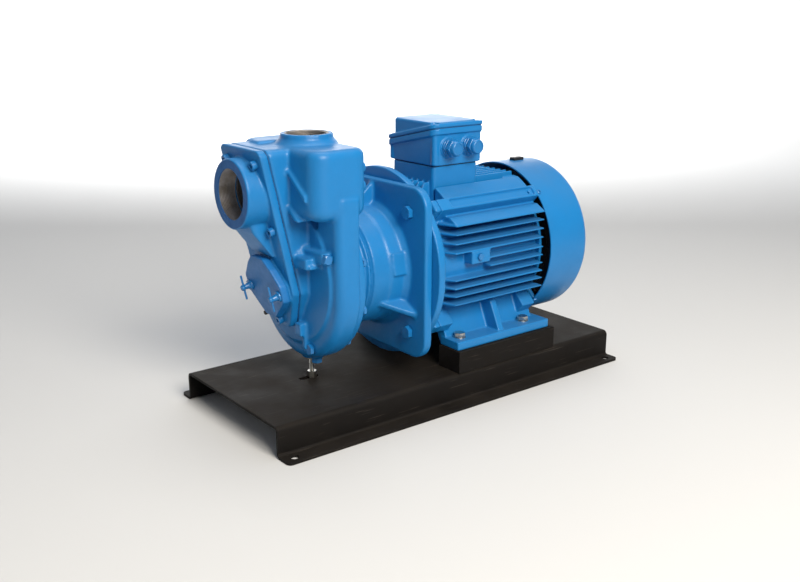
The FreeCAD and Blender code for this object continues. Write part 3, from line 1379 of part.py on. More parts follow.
def make_fan_cover():
    """Sheet cover: round shell with a rolled rear edge and a ring grille."""
    x0 = fan_cover_front_x
    x1 = x0 + fan_cover_length
    outer = rounded(rod_x(x0, x1, fan_cover_radius), fan_cover_round,
                    lambda edge: edge.BoundBox.XMin > x1 - 0.1)
    inner = rounded(rod_x(x0 - 1, x1 - fan_cover_sheet, fan_cover_radius - fan_cover_sheet),
                    fan_cover_round - fan_cover_sheet,
                    lambda edge: edge.BoundBox.XMin > x1 - fan_cover_sheet - 0.1)
    body = outer.cut(inner)
    spokes = []
    for degrees in around_axis(grille_spokes):
        spoke = box(x1 - 5, x1 + 5, -3.5, 3.5, shaft_z, shaft_z + fan_cover_radius)
        spoke.rotate(V(0, 0, shaft_z), AXIS_X, degrees)
        spokes.append(spoke)
    bars = spokes[0].multiFuse(spokes[1:])
    for k in range(grille_rings):
        radius = grille_first_radius + k * grille_pitch
        ring = tube_x(x1 - fan_cover_sheet - 1, x1 + 1, radius + grille_slot, radius)
        body = body.cut(ring.cut(bars))
    for y, z in cover_fixing_places():
        direction = V(0, y, z - shaft_z).normalize()
        start = V(cover_fixing_x, 0, shaft_z) + direction * (fan_cover_radius - 6)
        body = body.cut(cylinder_at(cover_fixing_radius + fit_gap, 10, start, direction))
    return body.cut(cover_plug_neck(fit_gap)).removeSplitter()


def cover_fixing_places():
    """(y, z) directions of the four screws that hold the fan cover on its lugs."""
    return [polar(fan_cover_radius, degrees) for degrees in cover_fixing_angles]


def make_cover_lugs():
    """Lugs on the rear shield that take the fan cover's screws."""
    lugs = []
    inner = rear_shield_radius() - 12
    for y, z in cover_fixing_places():
        direction = V(0, y, z - shaft_z).normalize()
        start = V(cover_fixing_x, 0, shaft_z) + direction * inner
        reach = fan_cover_radius - fan_cover_sheet - inner - 0.05
        lug = cylinder_at(4.6, reach, start, direction)
        foot = cylinder_at(6.5, rear_shield_radius() - inner, start, direction)
        lug = lug.fuse(foot)
        hole = cylinder_at(cover_fixing_radius + thread_gap, 14, start + direction * (reach - 13), direction)
        lugs.append(lug.cut(hole))
    return lugs


def make_fan_cover_screws():
    """Pan head screws of the fan cover."""
    screws = []
    for y, z in cover_fixing_places():
        direction = V(0, y, z - shaft_z).normalize()
        seat = V(cover_fixing_x, 0, shaft_z) + direction * fan_cover_radius
        head = rounded(cylinder_at(4.5, 2.6, seat, direction), 1.0,
                       lambda edge: (edge.CenterOfMass - seat).dot(direction) > 2.0)
        screws.append(head.fuse(cylinder_at(cover_fixing_radius, 12, seat, direction * -1)).removeSplitter())
    return group(screws)


def joint_z(y, offset=0.0):
    """Height of the slanted joint between terminal box and lid at y, raised by offset."""
    share = (y + box_width / 2) / box_width
    return lid_split_near_z + (lid_split_far_z - lid_split_near_z) * share + offset


def lid_plane(offset):
    """Slab above the slanted joint, raised by offset."""
    y0, y1 = -box_width, box_width
    high = 2 * cut_reach
    return prism([V(-cut_reach, y0, joint_z(y0, offset)), V(-cut_reach, y0, high), V(-cut_reach, y1, high),
                  V(-cut_reach, y1, joint_z(y1, offset))], V(2 * cut_reach, 0, 0))


def box_block(inset, z0, z1):
    """Rounded block on the terminal box's plan, inset from its outside."""
    body = box(box_front_x + inset, box_front_x + box_length - inset, -box_width / 2 + inset,
               box_width / 2 - inset, z0, z1)
    return rounded(body, max(box_corner_radius - inset, 1.5), lambda edge: along(edge, AXIS_Z))


def drafted_block(inset, z0, z1):
    """Block on the box's plan that is drawn in at its foot, from z0 up to z1."""
    wires = []
    for shift, z in ((inset + box_draft_inset, z0), (inset, z1)):
        slab = box_block(shift, z, z + 1)
        wires.append(min(slab.Faces, key=lambda face: face.CenterOfMass.z).OuterWire)
    return Part.makeLoft(wires, True, True)


def lid_screw_places():
    """(x, y) of the four lid screws."""
    return [(box_front_x + i * box_length + (1 - 2 * i) * lid_screw_inset, j * (box_width / 2 - lid_screw_inset))
            for i in (0, 1) for j in (-1, 1)]


def pillars(z1, radius):
    """Round pillars at the lid screws, up to z1."""
    return [rod_z(box_base_z + 1, z1, radius, x, y) for x, y in lid_screw_places()]


def make_terminal_box():
    """Open terminal box, drawn in at its foot, with a slanted rim, screw pillars and gland bosses."""
    body = drafted_block(0, box_base_z, box_top_z).cut(lid_plane(0))
    hollow = drafted_block(box_wall, box_base_z + box_wall, box_top_z + 1)
    columns = [column.cut(lid_plane(0)) for column in pillars(box_top_z, lid_pillar_radius)]
    rim = box_block(-box_rim_width, box_base_z, box_top_z).cut(lid_plane(0)).common(lid_plane(-box_rim_depth))
    bosses = [rod_y(-box_width / 2 - 1, -box_width / 2 + gland_boss_length, gland_flats / 2 + 3, x, gland_z)
              for x in gland_places()]
    body = body.multiFuse([rim] + bosses).cut(hollow).multiFuse(columns)
    cuts = [box_window(box_base_z - 1, box_base_z + box_wall + 1)]
    for x in gland_places():
        cuts.append(rod_y(-box_width / 2 - 2, -box_width / 2 + 9, gland_thread_radius + thread_gap, x, gland_z))
    for x, y in lid_screw_places():
        cuts.append(rod_z(joint_z(y) - lid_screw_length + 2, box_top_z, lid_screw_radius + thread_gap, x, y))
    return body.cut(cuts[0].multiFuse(cuts[1:])).removeSplitter()


def gland_places():
    """X of the two cable glands."""
    middle = box_front_x + box_length / 2
    return [middle - gland_spacing / 2, middle + gland_spacing / 2]


def lid_screw_seat(y):
    """Height of the spot face under a lid screw's head."""
    return joint_z(y, gasket_thickness + lid_flange_thickness - 2.0)


def make_terminal_lid():
    """Lid with a slanted flange, a cap that is shallow on the gland side, and a notch at each screw."""
    flange = box_block(-lid_flange_lip, box_base_z, box_top_z).common(lid_plane(gasket_thickness))
    flange = flange.cut(lid_plane(gasket_thickness + lid_flange_thickness))
    cap = box_block(lid_cap_inset, box_base_z, box_top_z)
    cap = rounded(cap, 2.5, lambda edge: edge.BoundBox.ZMin > box_top_z - 0.1)
    cap = cap.common(lid_plane(gasket_thickness))
    body = flange.fuse(cap)
    hollow = box_block(lid_cap_inset + box_wall, box_base_z, box_top_z - box_wall)
    hollow = hollow.cut(pillars(box_top_z, lid_notch_radius + 3)[0].multiFuse(
        pillars(box_top_z, lid_notch_radius + 3)[1:]))
    body = body.cut(hollow)
    for x, y in lid_screw_places():
        body = body.cut(rod_z(lid_screw_seat(y), box_top_z + 1, lid_notch_radius, x, y))
        body = body.cut(rod_z(box_base_z, box_top_z + 1, lid_screw_radius + fit_gap, x, y))
    return body.removeSplitter()


def make_box_gaskets():
    """Gaskets under the terminal box and under its lid."""
    inset = pedestal_inset_y
    foot = box_block(inset, box_base_z - gasket_thickness, box_base_z)
    foot = foot.cut(box_window(box_base_z - gasket_thickness - 1, box_base_z + 1))
    between = lid_plane(0).cut(lid_plane(gasket_thickness))
    ring = box_block(-1.0, box_base_z, box_top_z + 2).common(between)
    ring = ring.cut(box_block(box_wall, box_base_z, box_top_z + 3))
    pads = [column.common(between) for column in pillars(box_top_z + 2, lid_pillar_radius)]
    ring = ring.multiFuse(pads)
    for x, y in lid_screw_places():
        ring = ring.cut(rod_z(box_base_z, box_top_z + 3, lid_screw_radius + fit_gap, x, y))
    return group([foot, ring.removeSplitter()])


def make_lid_screws():
    """Screws of the terminal box lid."""
    screws = []
    for x, y in lid_screw_places():
        seat = V(x, y, lid_screw_seat(y))
        head = cylinder_at(lid_screw_head_radius, 3.2, seat, AXIS_Z)
        shank = cylinder_at(lid_screw_radius, lid_screw_length, seat, V(0, 0, -1))
        screws.append(head.fuse(shank).removeSplitter())
    return group(screws)


def make_glands():
    """Two cable glands closed by domed cap nuts."""
    face = -box_width / 2 - 1
    out = V(0, -1, 0)
    glands = []
    for x in gland_places():
        seat = V(x, face, gland_z)
        ring = cylinder_at(gland_flats / 2 + 1.5, 3, seat, out)
        nut = hexagon(gland_flats, 11, seat, out)
        thread = cylinder_at(gland_thread_radius, 10, seat, out * -1)
        cap = rounded(cylinder_at(gland_cap_radius, 23, seat, out), 3.5,
                      lambda edge: edge.CenterOfMass.y < face - 22)
        disc = cylinder_at(gland_cap_radius - 4, 25, seat, out)
        glands.append(ring.multiFuse([nut, thread, cap, disc]).removeSplitter())
    return group(glands)


def make_terminal_board():
    """Insulating block with six terminal studs, their nuts and links."""
    middle = box_front_x + box_length / 2
    z0 = box_base_z + box_wall
    board = box(middle - 34, middle + 34, -26, 26, z0, z0 + 9)
    board = board.cut(box(middle - 12, middle + 12, -box_width, box_width, z0 - 1, z0 + 4))
    pieces = []
    for i in (-1, 0, 1):
        for j in (-1, 1):
            x, y = middle + i * 20, j * 13
            board = board.cut(rod_z(z0 + 3, z0 + 10, 2.6, x, y))
            stud = rod_z(z0 + 3, z0 + 22, 2.5, x, y)
            pieces.append(stud.fuse(hexagon(8, 4, V(x, y, z0 + 9), AXIS_Z)).removeSplitter())
    return group([board.removeSplitter()] + pieces)


def make_earth_screw():
    """Earth screw on the side pad."""
    return hex_screw(3, 8, 10, 4, V(earth_x, -side_fin_reach - 1, earth_z), V(0, -1, 0))


def build():
    """Make every node and write it."""
    os.makedirs("parts", exist_ok=True)
    save("baseplate", make_base())
    save("riser_bars", make_risers())
    foot_bolts, foot_washers = make_foot_fasteners()
    save("foot_bolts", foot_bolts)
    save("foot_washers", foot_washers)
    save("support_stud", make_support_stud())
    save("support_nuts", make_support_nuts())
    save("pump_casing", make_casing())
    save("front_cover", make_front_cover())
    save("front_cover_gasket", make_cover_gasket())
    save("front_cover_screws", make_cover_screws())
    save("wear_plate", make_wear_plate())
    save("cleanout_cover", make_cleanout_cover())
    save("cleanout_oring", make_cleanout_ring())
    for name, side in (("near", -1), ("far", 1)):
        save("t_screw_" + name, make_t_screw(side))
        save("t_bar_" + name, t_bar_shape(side, t_bar_radius, t_bar_length))
    save("flap", make_flap())
    save("flap_weight", make_flap_weights())
    save("flap_pin", make_flap_pin())
    save("seal_housing", make_seal_housing())
    save("seal_housing_oring", make_seal_oring())
    save("casing_bolts", make_casing_bolts())
    save("drain_plug", make_drain_plug())
    save("casing_plugs", make_casing_plugs())
    save("black_plugs", make_black_plugs())
    save("impeller", make_impeller())
    save("impeller_screw", make_impeller_screw())
    seat, ring, spring = make_seal_parts()
    save("seal_seat", seat)
    save("seal_ring", ring)
    save("seal_spring", spring)
    save("stub_shaft", make_stub_shaft())
    save("shaft_keys", group([key_block(), small_key()]))
    save("lantern_bracket", make_lantern())
    save("flange_bolts", make_flange_bolts())
    save("stator_frame", make_stator_frame())
    save("drive_shield", make_drive_shield())
    save("rear_shield", make_rear_shield())
    save("shield_bolts", make_shield_bolts())
    core, windings = make_core_and_windings()
    save("stator_core", core)
    save("windings", windings)
    save("rotor_core", make_rotor_core())
    save("motor_shaft", make_motor_shaft())
    for name, x in (("drive", drive_bearing_x), ("rear", rear_bearing_x)):
        outer, inner, balls = make_bearing(x)
        save(name + "_bearing_outer", outer)
        save(name + "_bearing_inner", inner)
        save(name + "_ball_set", balls)
    save("wave_washer", make_wave_washer())
    save("fan", make_fan())
    save("fan_cover", make_fan_cover())
    save("fan_cover_screws", make_fan_cover_screws())
    save("terminal_box", make_terminal_box())
    save("terminal_lid", make_terminal_lid())
    save("box_gaskets", make_box_gaskets())
    save("lid_screws", make_lid_screws())
    save("cable_glands", make_glands())
    save("terminal_board", make_terminal_board())
    save("earth_screw", make_earth_screw())


build()
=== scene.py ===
"""Looks of a self-priming semi-trash pump, its motor and their folded baseplate.

Places are in metres in the part's own frame: +X along the shaft from the suction port to the motor's fan,
+Z up, and the near side of the picture at -Y. Sizes whose names end in _mm are millimetres.
"""

import json
import logging
import math
from dataclasses import dataclass, field, replace
from enum import Enum
from typing import Callable, Optional, Sequence, Union

import bmesh
import bpy
import numpy as np
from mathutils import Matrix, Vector


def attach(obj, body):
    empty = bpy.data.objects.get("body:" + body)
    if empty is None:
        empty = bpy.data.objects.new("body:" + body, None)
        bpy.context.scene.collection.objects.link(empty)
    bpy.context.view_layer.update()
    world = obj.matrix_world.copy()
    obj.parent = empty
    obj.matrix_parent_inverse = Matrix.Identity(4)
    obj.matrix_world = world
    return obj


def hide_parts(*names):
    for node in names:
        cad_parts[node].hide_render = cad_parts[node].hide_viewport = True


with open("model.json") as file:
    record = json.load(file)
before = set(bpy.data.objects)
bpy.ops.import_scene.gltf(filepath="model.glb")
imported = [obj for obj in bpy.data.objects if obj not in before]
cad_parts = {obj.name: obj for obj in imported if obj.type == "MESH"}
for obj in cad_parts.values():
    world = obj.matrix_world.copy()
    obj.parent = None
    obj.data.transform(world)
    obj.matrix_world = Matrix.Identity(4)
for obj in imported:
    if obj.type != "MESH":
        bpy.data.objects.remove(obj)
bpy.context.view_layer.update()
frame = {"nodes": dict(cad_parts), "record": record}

log = logging.getLogger("pump")
MM = 0.001
SHAFT_Z = 0.2145
X_AXIS, Y_AXIS = np.eye(3)[:2]
COVER_ANGLE = math.radians(13)
COVER_TILT = math.tan(COVER_ANGLE)
COVER_TOP_MM = (-303, 395)
OUT_OF_COVER = (-1, 0, -COVER_TILT)
TRIANGLE_LIMIT = 190000
Array = np.ndarray
Vec = tuple[float, float, float]
RGBA = tuple[float, float, float, float]
Socket = bpy.types.NodeSocket
Tree = bpy.types.NodeTree
Thing = bpy.types.Object


# Finishes


def linear(hexcode: str) -> RGBA:
    """Linear colour of an sRGB hex code.

    Args:
        hexcode: six hex digits with a leading #.

    Returns:
        Red, green, blue and alpha 1, each channel c -> c/12.92 below 0.04045, else ((c+0.055)/1.055)^2.4.
    """
    channels = [int(hexcode[i:i + 2], 16) / 255 for i in (1, 3, 5)]
    return tuple(c / 12.92 if c <= 0.04045 else ((c + 0.055) / 1.055) ** 2.4 for c in channels) + (1.0,)


def add(tree: Tree, kind: str, inputs: Optional[dict] = None, **settings) -> bpy.types.Node:
    """Adds one shader node.

    Args:
        tree: the material's node tree.
        kind: Blender's node type without its "ShaderNode" start.
        inputs: socket name or number to a value, or to another node's output to link from.
        settings: properties of the node itself.

    Returns:
        The new node.
    """
    made = tree.nodes.new("ShaderNode" + kind)
    for name, value in settings.items():
        setattr(made, name, value)
    for socket, value in (inputs or {}).items():
        if isinstance(value, Socket):
            tree.links.new(value, made.inputs[socket])
        else:
            made.inputs[socket].default_value = value
    return made


def ramp(tree: Tree, source: Socket, low: float, high: float, top: float = 1.0) -> Socket:
    """0 below low, top above high, straight between: a mask from a noise, a normal or a mix."""
    return add(tree, "MapRange", {"Value": source, "From Min": low, "From Max": high,
                                  "To Max": top}).outputs["Result"]


def mixed(tree: Tree, first: Union[Socket, RGBA], second: Union[Socket, RGBA], amount: Socket) -> Socket:
    """Colour that goes from first to second as amount goes from 0 to 1."""
    return add(tree, "Mix", {"Factor": amount, 6: first, 7: second}, data_type="RGBA").outputs[2]


COAT_ROUGH = 0.14
GLOSSIER, DULLER = 0.85, 1.2
# Slope of the normal above which faces take the paler top tint: part dust, part painted light from above.
TOP_TINT_SLOPE = 0.35
# Levels of the noise between which the shade and the scratches set in. Paint is rubbed off above RUB_LEVEL, which
# comes down by RUB_FALL on what is rubbed most.
SHADE_LEVELS, SCRATCH_LEVELS = (0.35, 0.68), (0.66, 0.72)
RUB_LEVEL, RUB_FALL, RUB_FADE = 0.80, 0.22, 0.03
SPOT_MM = 9.0
SCRATCH_MM, SCRATCH_STRETCH, SCRATCH_TURN = 1.6, 100 / 3, 0.4


@dataclass(frozen=True)
class Turning:
    """Tool rings of a face or bore that was turned on a lathe, wide enough apart to show.

    Args:
        centre: a point of the lathe axis.
        axis: direction of that axis.
        feed_mm: distance between two rings.
        depth_mm: how deep a ring is.
    """

    centre: Vec
    axis: Vec
    feed_mm: float = 1.2
    depth_mm: float = 0.02


@dataclass(frozen=True)
class Finish:
    """A surface: its name, colours, gloss and the real sizes of its grain and blotches in millimetres.

    Args:
        name: the finish in a maker's words.
        colour: sRGB hex of the clean surface.
        shade: sRGB hex that blotches drift to.
        rough: roughness.
        grain: width of the surface grain and how far it stands up, in millimetres.
        swell: the same of the slow unevenness of a casting or sheet, 0 wide for none.
        drift: width of the slow colour drift in millimetres and how much of the shade mixes in at most.
        metal: metallic value.
        gleam: how strongly paint mirrors its surroundings, 0.5 for plain lacquer.
        coat: clear coat weight.
        edge_mm: radius to which the shading rounds sharp edges.
        dust_and_top_light: sRGB hex that upward faces are tinted towards, or "" for none, and how much of it mixes in
            at most; the tint is part dust, part painted light from above.
        ior: index of refraction of a paint, rubber or plastic.
        wear: sRGB hex of what shows at rubbed spots, or "", and from 0 to 1 how much is rubbed.
        scratch: how much of the wear colour shows in fine scratches along X, from 0 to 1.
        turning: tool rings, where the surface is turned.
    """

    name: str
    colour: str
    shade: str
    rough: float
    grain: tuple[float, float] = (1.0, 0.05)
    swell: tuple[float, float] = (0.0, 0.0)
    drift: tuple[float, float] = (45.0, 0.35)
    metal: float = 0.0
    gleam: float = 0.5
    coat: float = 0.0
    edge_mm: float = 0.6
    dust_and_top_light: tuple[str, float] = ("", 0.0)
    ior: float = 1.5
    wear: tuple[str, float] = ("", 0.0)
    scratch: float = 0.0
    turning: Optional[Turning] = None

    def material(self) -> bpy.types.Material:
        """Builds the material once and hands the same one out afterwards."""
        known = bpy.data.materials.get(self.name)
        if known:
            return known
        made = bpy.data.materials.new(self.name)
        made.use_nodes = True
        tree = made.node_tree
        tree.nodes.clear()
        place = add(tree, "TexCoord").outputs["Object"]
        shader = add(tree, "BsdfPrincipled", {"Metallic": self.metal, "IOR": self.ior, "Coat Weight": self.coat,
                                              "Specular IOR Level": self.gleam, "Coat Roughness": COAT_ROUGH})
        blotch = self.noise(tree, place, self.drift[0], 4.0, 0.6)
        tree.links.new(self.paint(tree, place, blotch), shader.inputs["Base Color"])
        gloss = add(tree, "MapRange", {"Value": blotch, "From Min": 0.3, "From Max": 0.7,
                                       "To Min": self.rough * GLOSSIER, "To Max": min(self.rough * DULLER, 1.0)})
        tree.links.new(gloss.outputs["Result"], shader.inputs["Roughness"])
        normal = add(tree, "Bevel", {"Radius": self.edge_mm * MM}, samples=4).outputs["Normal"]
        for height, depth in self.relief(tree, place):
            normal = add(tree, "Bump", {"Height": height, "Distance": depth * MM, "Strength": 1.0,
                                        "Normal": normal}).outputs["Normal"]
        tree.links.new(normal, shader.inputs["Normal"])
        out = add(tree, "OutputMaterial")
        tree.links.new(shader.outputs["BSDF"], out.inputs["Surface"])
        return made

    def paint(self, tree: Tree, place: Socket, blotch: Socket) -> Socket:
        """Colour: the slow drift, a paler top tint (part dust, part painted highlight), then rubbed spots and
        scratches.
        """
        colour = mixed(tree, linear(self.colour), linear(self.shade), ramp(tree, blotch, *SHADE_LEVELS, self.drift[1]))
        # Upward faces are tinted paler: part dust, and on the enamels a painted highlight of the light from above.
        dust_and_top_light, top_tint_most = self.dust_and_top_light
        if dust_and_top_light:
            up = add(tree, "SeparateXYZ", {0: add(tree, "NewGeometry").outputs["Normal"]}).outputs["Z"]
            top_tint = ramp(tree, up, TOP_TINT_SLOPE, 1.0, top_tint_most)
            patchy_top_tint = add(tree, "Math", {0: top_tint, 1: blotch}, operation="MULTIPLY").outputs[0]
            colour = mixed(tree, colour, linear(dust_and_top_light), patchy_top_tint)
        wear, rubbed = self.wear
        if wear:
            spots = self.noise(tree, place, SPOT_MM, 8.0, 0.72)
            edge = RUB_LEVEL - RUB_FALL * rubbed
            colour = mixed(tree, colour, linear(wear), ramp(tree, spots, edge, edge + RUB_FADE))
        if self.scratch:
            drawn = add(tree, "Mapping", {"Vector": place, "Rotation": (0.0, 0.0, SCRATCH_TURN),
                                          "Scale": (1 / SCRATCH_STRETCH, 1.0, 1.0)})
            lines = self.noise(tree, drawn.outputs["Vector"], SCRATCH_MM, 2.0, 0.5)
            colour = mixed(tree, colour, linear(wear), ramp(tree, lines, *SCRATCH_LEVELS, self.scratch))
        return colour

    def relief(self, tree: Tree, place: Socket) -> list[tuple[Socket, float]]:
        """Heights from 0 to 1 with the depth of each in millimetres, the slowest first."""
        heights = []
        if self.swell[0]:
            heights.append((self.noise(tree, place, self.swell[0], 2.0, 0.5), self.swell[1]))
        if self.turning:
            heights.append((self.rings(tree, place, self.turning), self.turning.depth_mm))
        heights.append((self.noise(tree, place, self.grain[0], 3.0, 0.55), self.grain[1]))
        return heights

    @staticmethod
    def noise(tree: Tree, place: Socket, width_mm: float, detail: float, rough: float) -> Socket:
        """Noise whose features are width_mm wide."""
        return add(tree, "TexNoise", {"Vector": place, "Scale": 1000 / width_mm, "Detail": detail,
                                      "Roughness": rough}).outputs["Fac"]

    @staticmethod
    def rings(tree: Tree, place: Socket, turning: Turning) -> Socket:
        """Waves of the distance from the lathe axis plus the way along it: half a sine plus one half."""
        off = add(tree, "VectorMath", {0: place, 1: turning.centre}, operation="SUBTRACT").outputs[0]
        along = add(tree, "VectorMath", {0: off, 1: turning.axis}, operation="DOT_PRODUCT").outputs["Value"]
        radial = add(tree, "VectorMath", {0: off, 1: turning.axis}, operation="CROSS_PRODUCT").outputs[0]
        reach = add(tree, "VectorMath", {0: radial}, operation="LENGTH").outputs["Value"]
        way = add(tree, "Math", {0: reach, 1: along}, operation="ADD").outputs[0]
        turn = add(tree, "Math", {0: way, 1: 2 * math.pi / (turning.feed_mm * MM)}, operation="MULTIPLY").outputs[0]
        wave = add(tree, "Math", {0: turn}, operation="SINE").outputs[0]
        return add(tree, "Math", {0: wave, 1: 0.5, 2: 0.5}, operation="MULTIPLY_ADD").outputs[0]


SUCTION = Turning((-0.323, 0.0, 0.35), (1.0, 0.0, 0.0))
DISCHARGE = Turning((-0.207, -0.02, 0.43), (0.0, 0.0, 1.0))
# Alkyd enamel sprayed over sand-cast iron: satin, with the sand's grain and the mould's swells under it. Its upward
# faces are painted a paler blue: a painted highlight of the light from above, with some dust.
PUMP_ENAMEL = Finish("sprayed_enamel_on_cast_iron", "#1473b3", "#1367a2", 0.40, grain=(1.7, 0.16), swell=(16.0, 0.5),
                     gleam=0.35, coat=0.06, edge_mm=1.0, dust_and_top_light=("#7fa3bd", 0.15))
# The same enamel on the motor's smoother iron and its sheet cover, its upward faces painted paler blue in the same
# way: painted highlight with some dust.
MOTOR_ENAMEL = Finish("sprayed_enamel_on_motor", "#1474b5", "#1369a6", 0.37, grain=(2.2, 0.07), swell=(22.0, 0.2),
                      gleam=0.35, coat=0.08, edge_mm=0.8, dust_and_top_light=("#7fa3bd", 0.2))
# Screws sprayed over together with what they hold: thin paint, forged grain.
SCREW_ENAMEL = Finish("sprayed_enamel_on_screws", "#136eae", "#125e96", 0.34, grain=(0.9, 0.04), drift=(9.0, 0.35),
                      coat=0.25, edge_mm=0.3, wear=("#5d6a74", 0.35))
# Enamel oversprayed on a turned face: dull, darker, tool rings faintly seen through it.
FACE_ENAMEL = Finish("thin_enamel_on_turned_face", "#115b9c", "#104c82", 0.55, grain=(0.9, 0.04), drift=(18.0, 0.7),
                     edge_mm=0.4, wear=("#5d7488", 0.45), turning=SUCTION)
# Enamel on the cleanout cover, which hands rub dull.
RUBBED_ENAMEL = Finish("rubbed_enamel_on_cast_iron", "#0e6cb0", "#0e5c98", 0.46, grain=(1.5, 0.15),
                       swell=(14.0, 0.35), drift=(20.0, 0.6), coat=0.1, edge_mm=1.0, wear=("#6f7f8c", 0.40))
# Matt black structural paint on folded sheet: orange peel, a paler brownish tint on upward faces, scuffs and fine
# scratches on top.
BASE_PAINT = Finish("matt_black_paint_on_sheet", "#100e0d", "#171412", 0.66, grain=(1.5, 0.05), swell=(60.0, 0.25),
                    drift=(70.0, 0.8), edge_mm=0.8, dust_and_top_light=("#3c362f", 0.4), gleam=0.15, wear=("#57504a", 0.28),
                    scratch=0.3)
# Bright zinc plate on rolled and forged steel.
ZINC_STEEL = Finish("zinc_plated_steel", "#c9c8c2", "#a9a69b", 0.30, grain=(0.5, 0.01), metal=1.0, edge_mm=0.3,
                    drift=(6.0, 0.35))
# Turned grey iron in the ports: bare and dull, tool rings drawn wider than the real 0.2 mm feed so they show.
SUCTION_IRON = Finish("turned_grey_iron_suction", "#9a9798", "#857e76", 0.50, grain=(0.7, 0.03), metal=0.85,
                      edge_mm=0.3, drift=(14.0, 0.8), turning=SUCTION)
DISCHARGE_IRON = replace(SUCTION_IRON, name="turned_grey_iron_discharge", colour="#a8a4a0", shade="#8c8580",
                         rough=0.48, turning=DISCHARGE)
BARE_IRON = Finish("rough_grey_iron", "#7d7770", "#5f574e", 0.55, grain=(1.2, 0.1), metal=0.7, edge_mm=0.5,
                   drift=(14.0, 0.8))
# Shaft ends, ground on centres: bright with hardly any grain.
SHAFT_STEEL = Finish("ground_shaft_steel", "#b4b4b2", "#9b9b99", 0.25, grain=(0.4, 0.005), metal=1.0, edge_mm=0.3)
BEARING_STEEL = Finish("polished_bearing_steel", "#c4c5c8", "#b0b1b4", 0.15, grain=(0.4, 0.003), metal=1.0,
                       edge_mm=0.2)
# Punched sheets pressed into a pack: dull blue-grey steel with an oxide film.
LAMINATIONS = Finish("stacked_electrical_sheet", "#5b5f66", "#4a4d53", 0.45, grain=(0.6, 0.03), metal=0.8)
CAST_ALUMINIUM = Finish("die_cast_aluminium", "#a4a6a8", "#8d8f92", 0.42, grain=(1.0, 0.03), metal=1.0)
# Wound wire under baked varnish: the grain is the width of the wires.
COPPER = Finish("varnished_copper_wire", "#b0622f", "#8c4a22", 0.35, grain=(1.2, 0.25), metal=0.7)
# A gasket's edge that the spray reached: dark, dull blue.
PAINTED_RUBBER = Finish("oversprayed_gasket_edge", "#13568f", "#0c3555", 0.6, grain=(0.8, 0.03), drift=(12.0, 0.7))
RUBBER = Finish("moulded_black_rubber", "#171716", "#1f1f1e", 0.72, grain=(0.8, 0.02), ior=1.52)
SEAL_FACE = Finish("lapped_carbon_and_ceramic", "#2c2c2e", "#363638", 0.2, grain=(0.5, 0.003))
BLACK_PLASTIC = Finish("moulded_black_nylon", "#161618", "#1d1d1f", 0.45, grain=(0.6, 0.02), ior=1.53)


class Slot(Enum):
    """The record's material slots with the finish that each takes."""

    PUMP = ("pump_enamel", PUMP_ENAMEL)
    MOTOR = ("motor_enamel", MOTOR_ENAMEL)
    BASE = ("base_paint", BASE_PAINT)
    ZINC = ("zinc_steel", ZINC_STEEL)
    PAINTED = ("painted_steel", SCREW_ENAMEL)
    IRON = ("bare_iron", BARE_IRON)
    SHAFT = ("shaft_steel", SHAFT_STEEL)
    BEARING = ("bearing_steel", BEARING_STEEL)
    CORE = ("core_steel", LAMINATIONS)
    ROTOR = ("rotor_metal", CAST_ALUMINIUM)
    COPPER = ("copper", COPPER)
    RUBBER = ("rubber", RUBBER)
    SEAL = ("seal_face", SEAL_FACE)
    PLASTIC = ("black_plastic", BLACK_PLASTIC)


SLOTS = {slot.value[0]: slot for slot in Slot}
SLOT_OF = {row["node"]: SLOTS[row["material_slot"]] for row in frame["record"]["subparts"]}
BODY_OF = {node: body for body, nodes in frame["record"]["behaviour"]["bodies"].items() for node in nodes}


# Surfaces


SMOOTH_DEGREES = 32.0
POINT_STEP = 2e-6


@dataclass
class Shell:
    """Collects grids of points into one mesh."""

    points: list[Array] = field(default_factory=list)
    faces: list[Array] = field(default_factory=list)
    fans: list[list[int]] = field(default_factory=list)
    count: int = 0

    @classmethod
    def of(cls, points: Array, closed: tuple[bool, bool] = (True, False), caps: bool = False) -> "Shell":
        """Shell of one grid, with what grid() asks for."""
        shell = cls()
        shell.grid(points, closed, caps)
        return shell

    def grid(self, points: Array, closed: tuple[bool, bool] = (True, False), caps: bool = False) -> None:
        """Adds a grid of quads.

        Args:
            points: array of shape (n, m, 3); the first index runs round, the second along.
            closed: whether the round and the along direction close on themselves.
            caps: whether the two ends of an open along direction are closed with one face each.
        """
        n, m = points.shape[:2]
        index = np.arange(n * m).reshape(n, m) + self.count
        across = np.roll(index, -1, axis=0) if closed[0] else index[1:]
        here = index if closed[0] else index[:-1]
        if closed[1]:
            quads = np.stack([here, across, np.roll(across, -1, axis=1), np.roll(here, -1, axis=1)], axis=-1)
        else:
            quads = np.stack([here[:, :-1], across[:, :-1], across[:, 1:], here[:, 1:]], axis=-1)
        self.points.append(points.reshape(-1, 3))
        self.faces.append(quads.reshape(-1, 4))
        if caps:
            self.fans.append(list(index[::-1, 0]))
            self.fans.append(list(index[:, -1]))
        self.count += n * m

    def piece(self, name: str, slot: Slot, body: str, finish: Optional[Finish] = None) -> Thing:
        """Makes a piece of its own that rides on a body."""
        return place(self.mesh(name), name, slot, body, (), SMOOTH_DEGREES, finish)

    def stand_for(self, node: str, smooth: float = SMOOTH_DEGREES) -> Thing:
        """Makes the piece that takes a CAD node's place."""
        return dress(self.mesh(node + "_skin"), node, smooth)

    def mesh(self, name: str) -> bpy.types.Mesh:
        """Mesh of all the grids with its doubles merged and its faces turned outwards."""
        mesh = bpy.data.meshes.new(name)
        quads = [tuple(face) for face in np.concatenate(self.faces)]
        mesh.from_pydata(np.concatenate(self.points).tolist(), [], quads + [tuple(fan) for fan in self.fans])
        work = bmesh.new()
        work.from_mesh(mesh)
        bmesh.ops.remove_doubles(work, verts=work.verts, dist=POINT_STEP)
        bmesh.ops.recalc_face_normals(work, faces=work.faces)
        work.to_mesh(mesh)
        work.free()
        return mesh


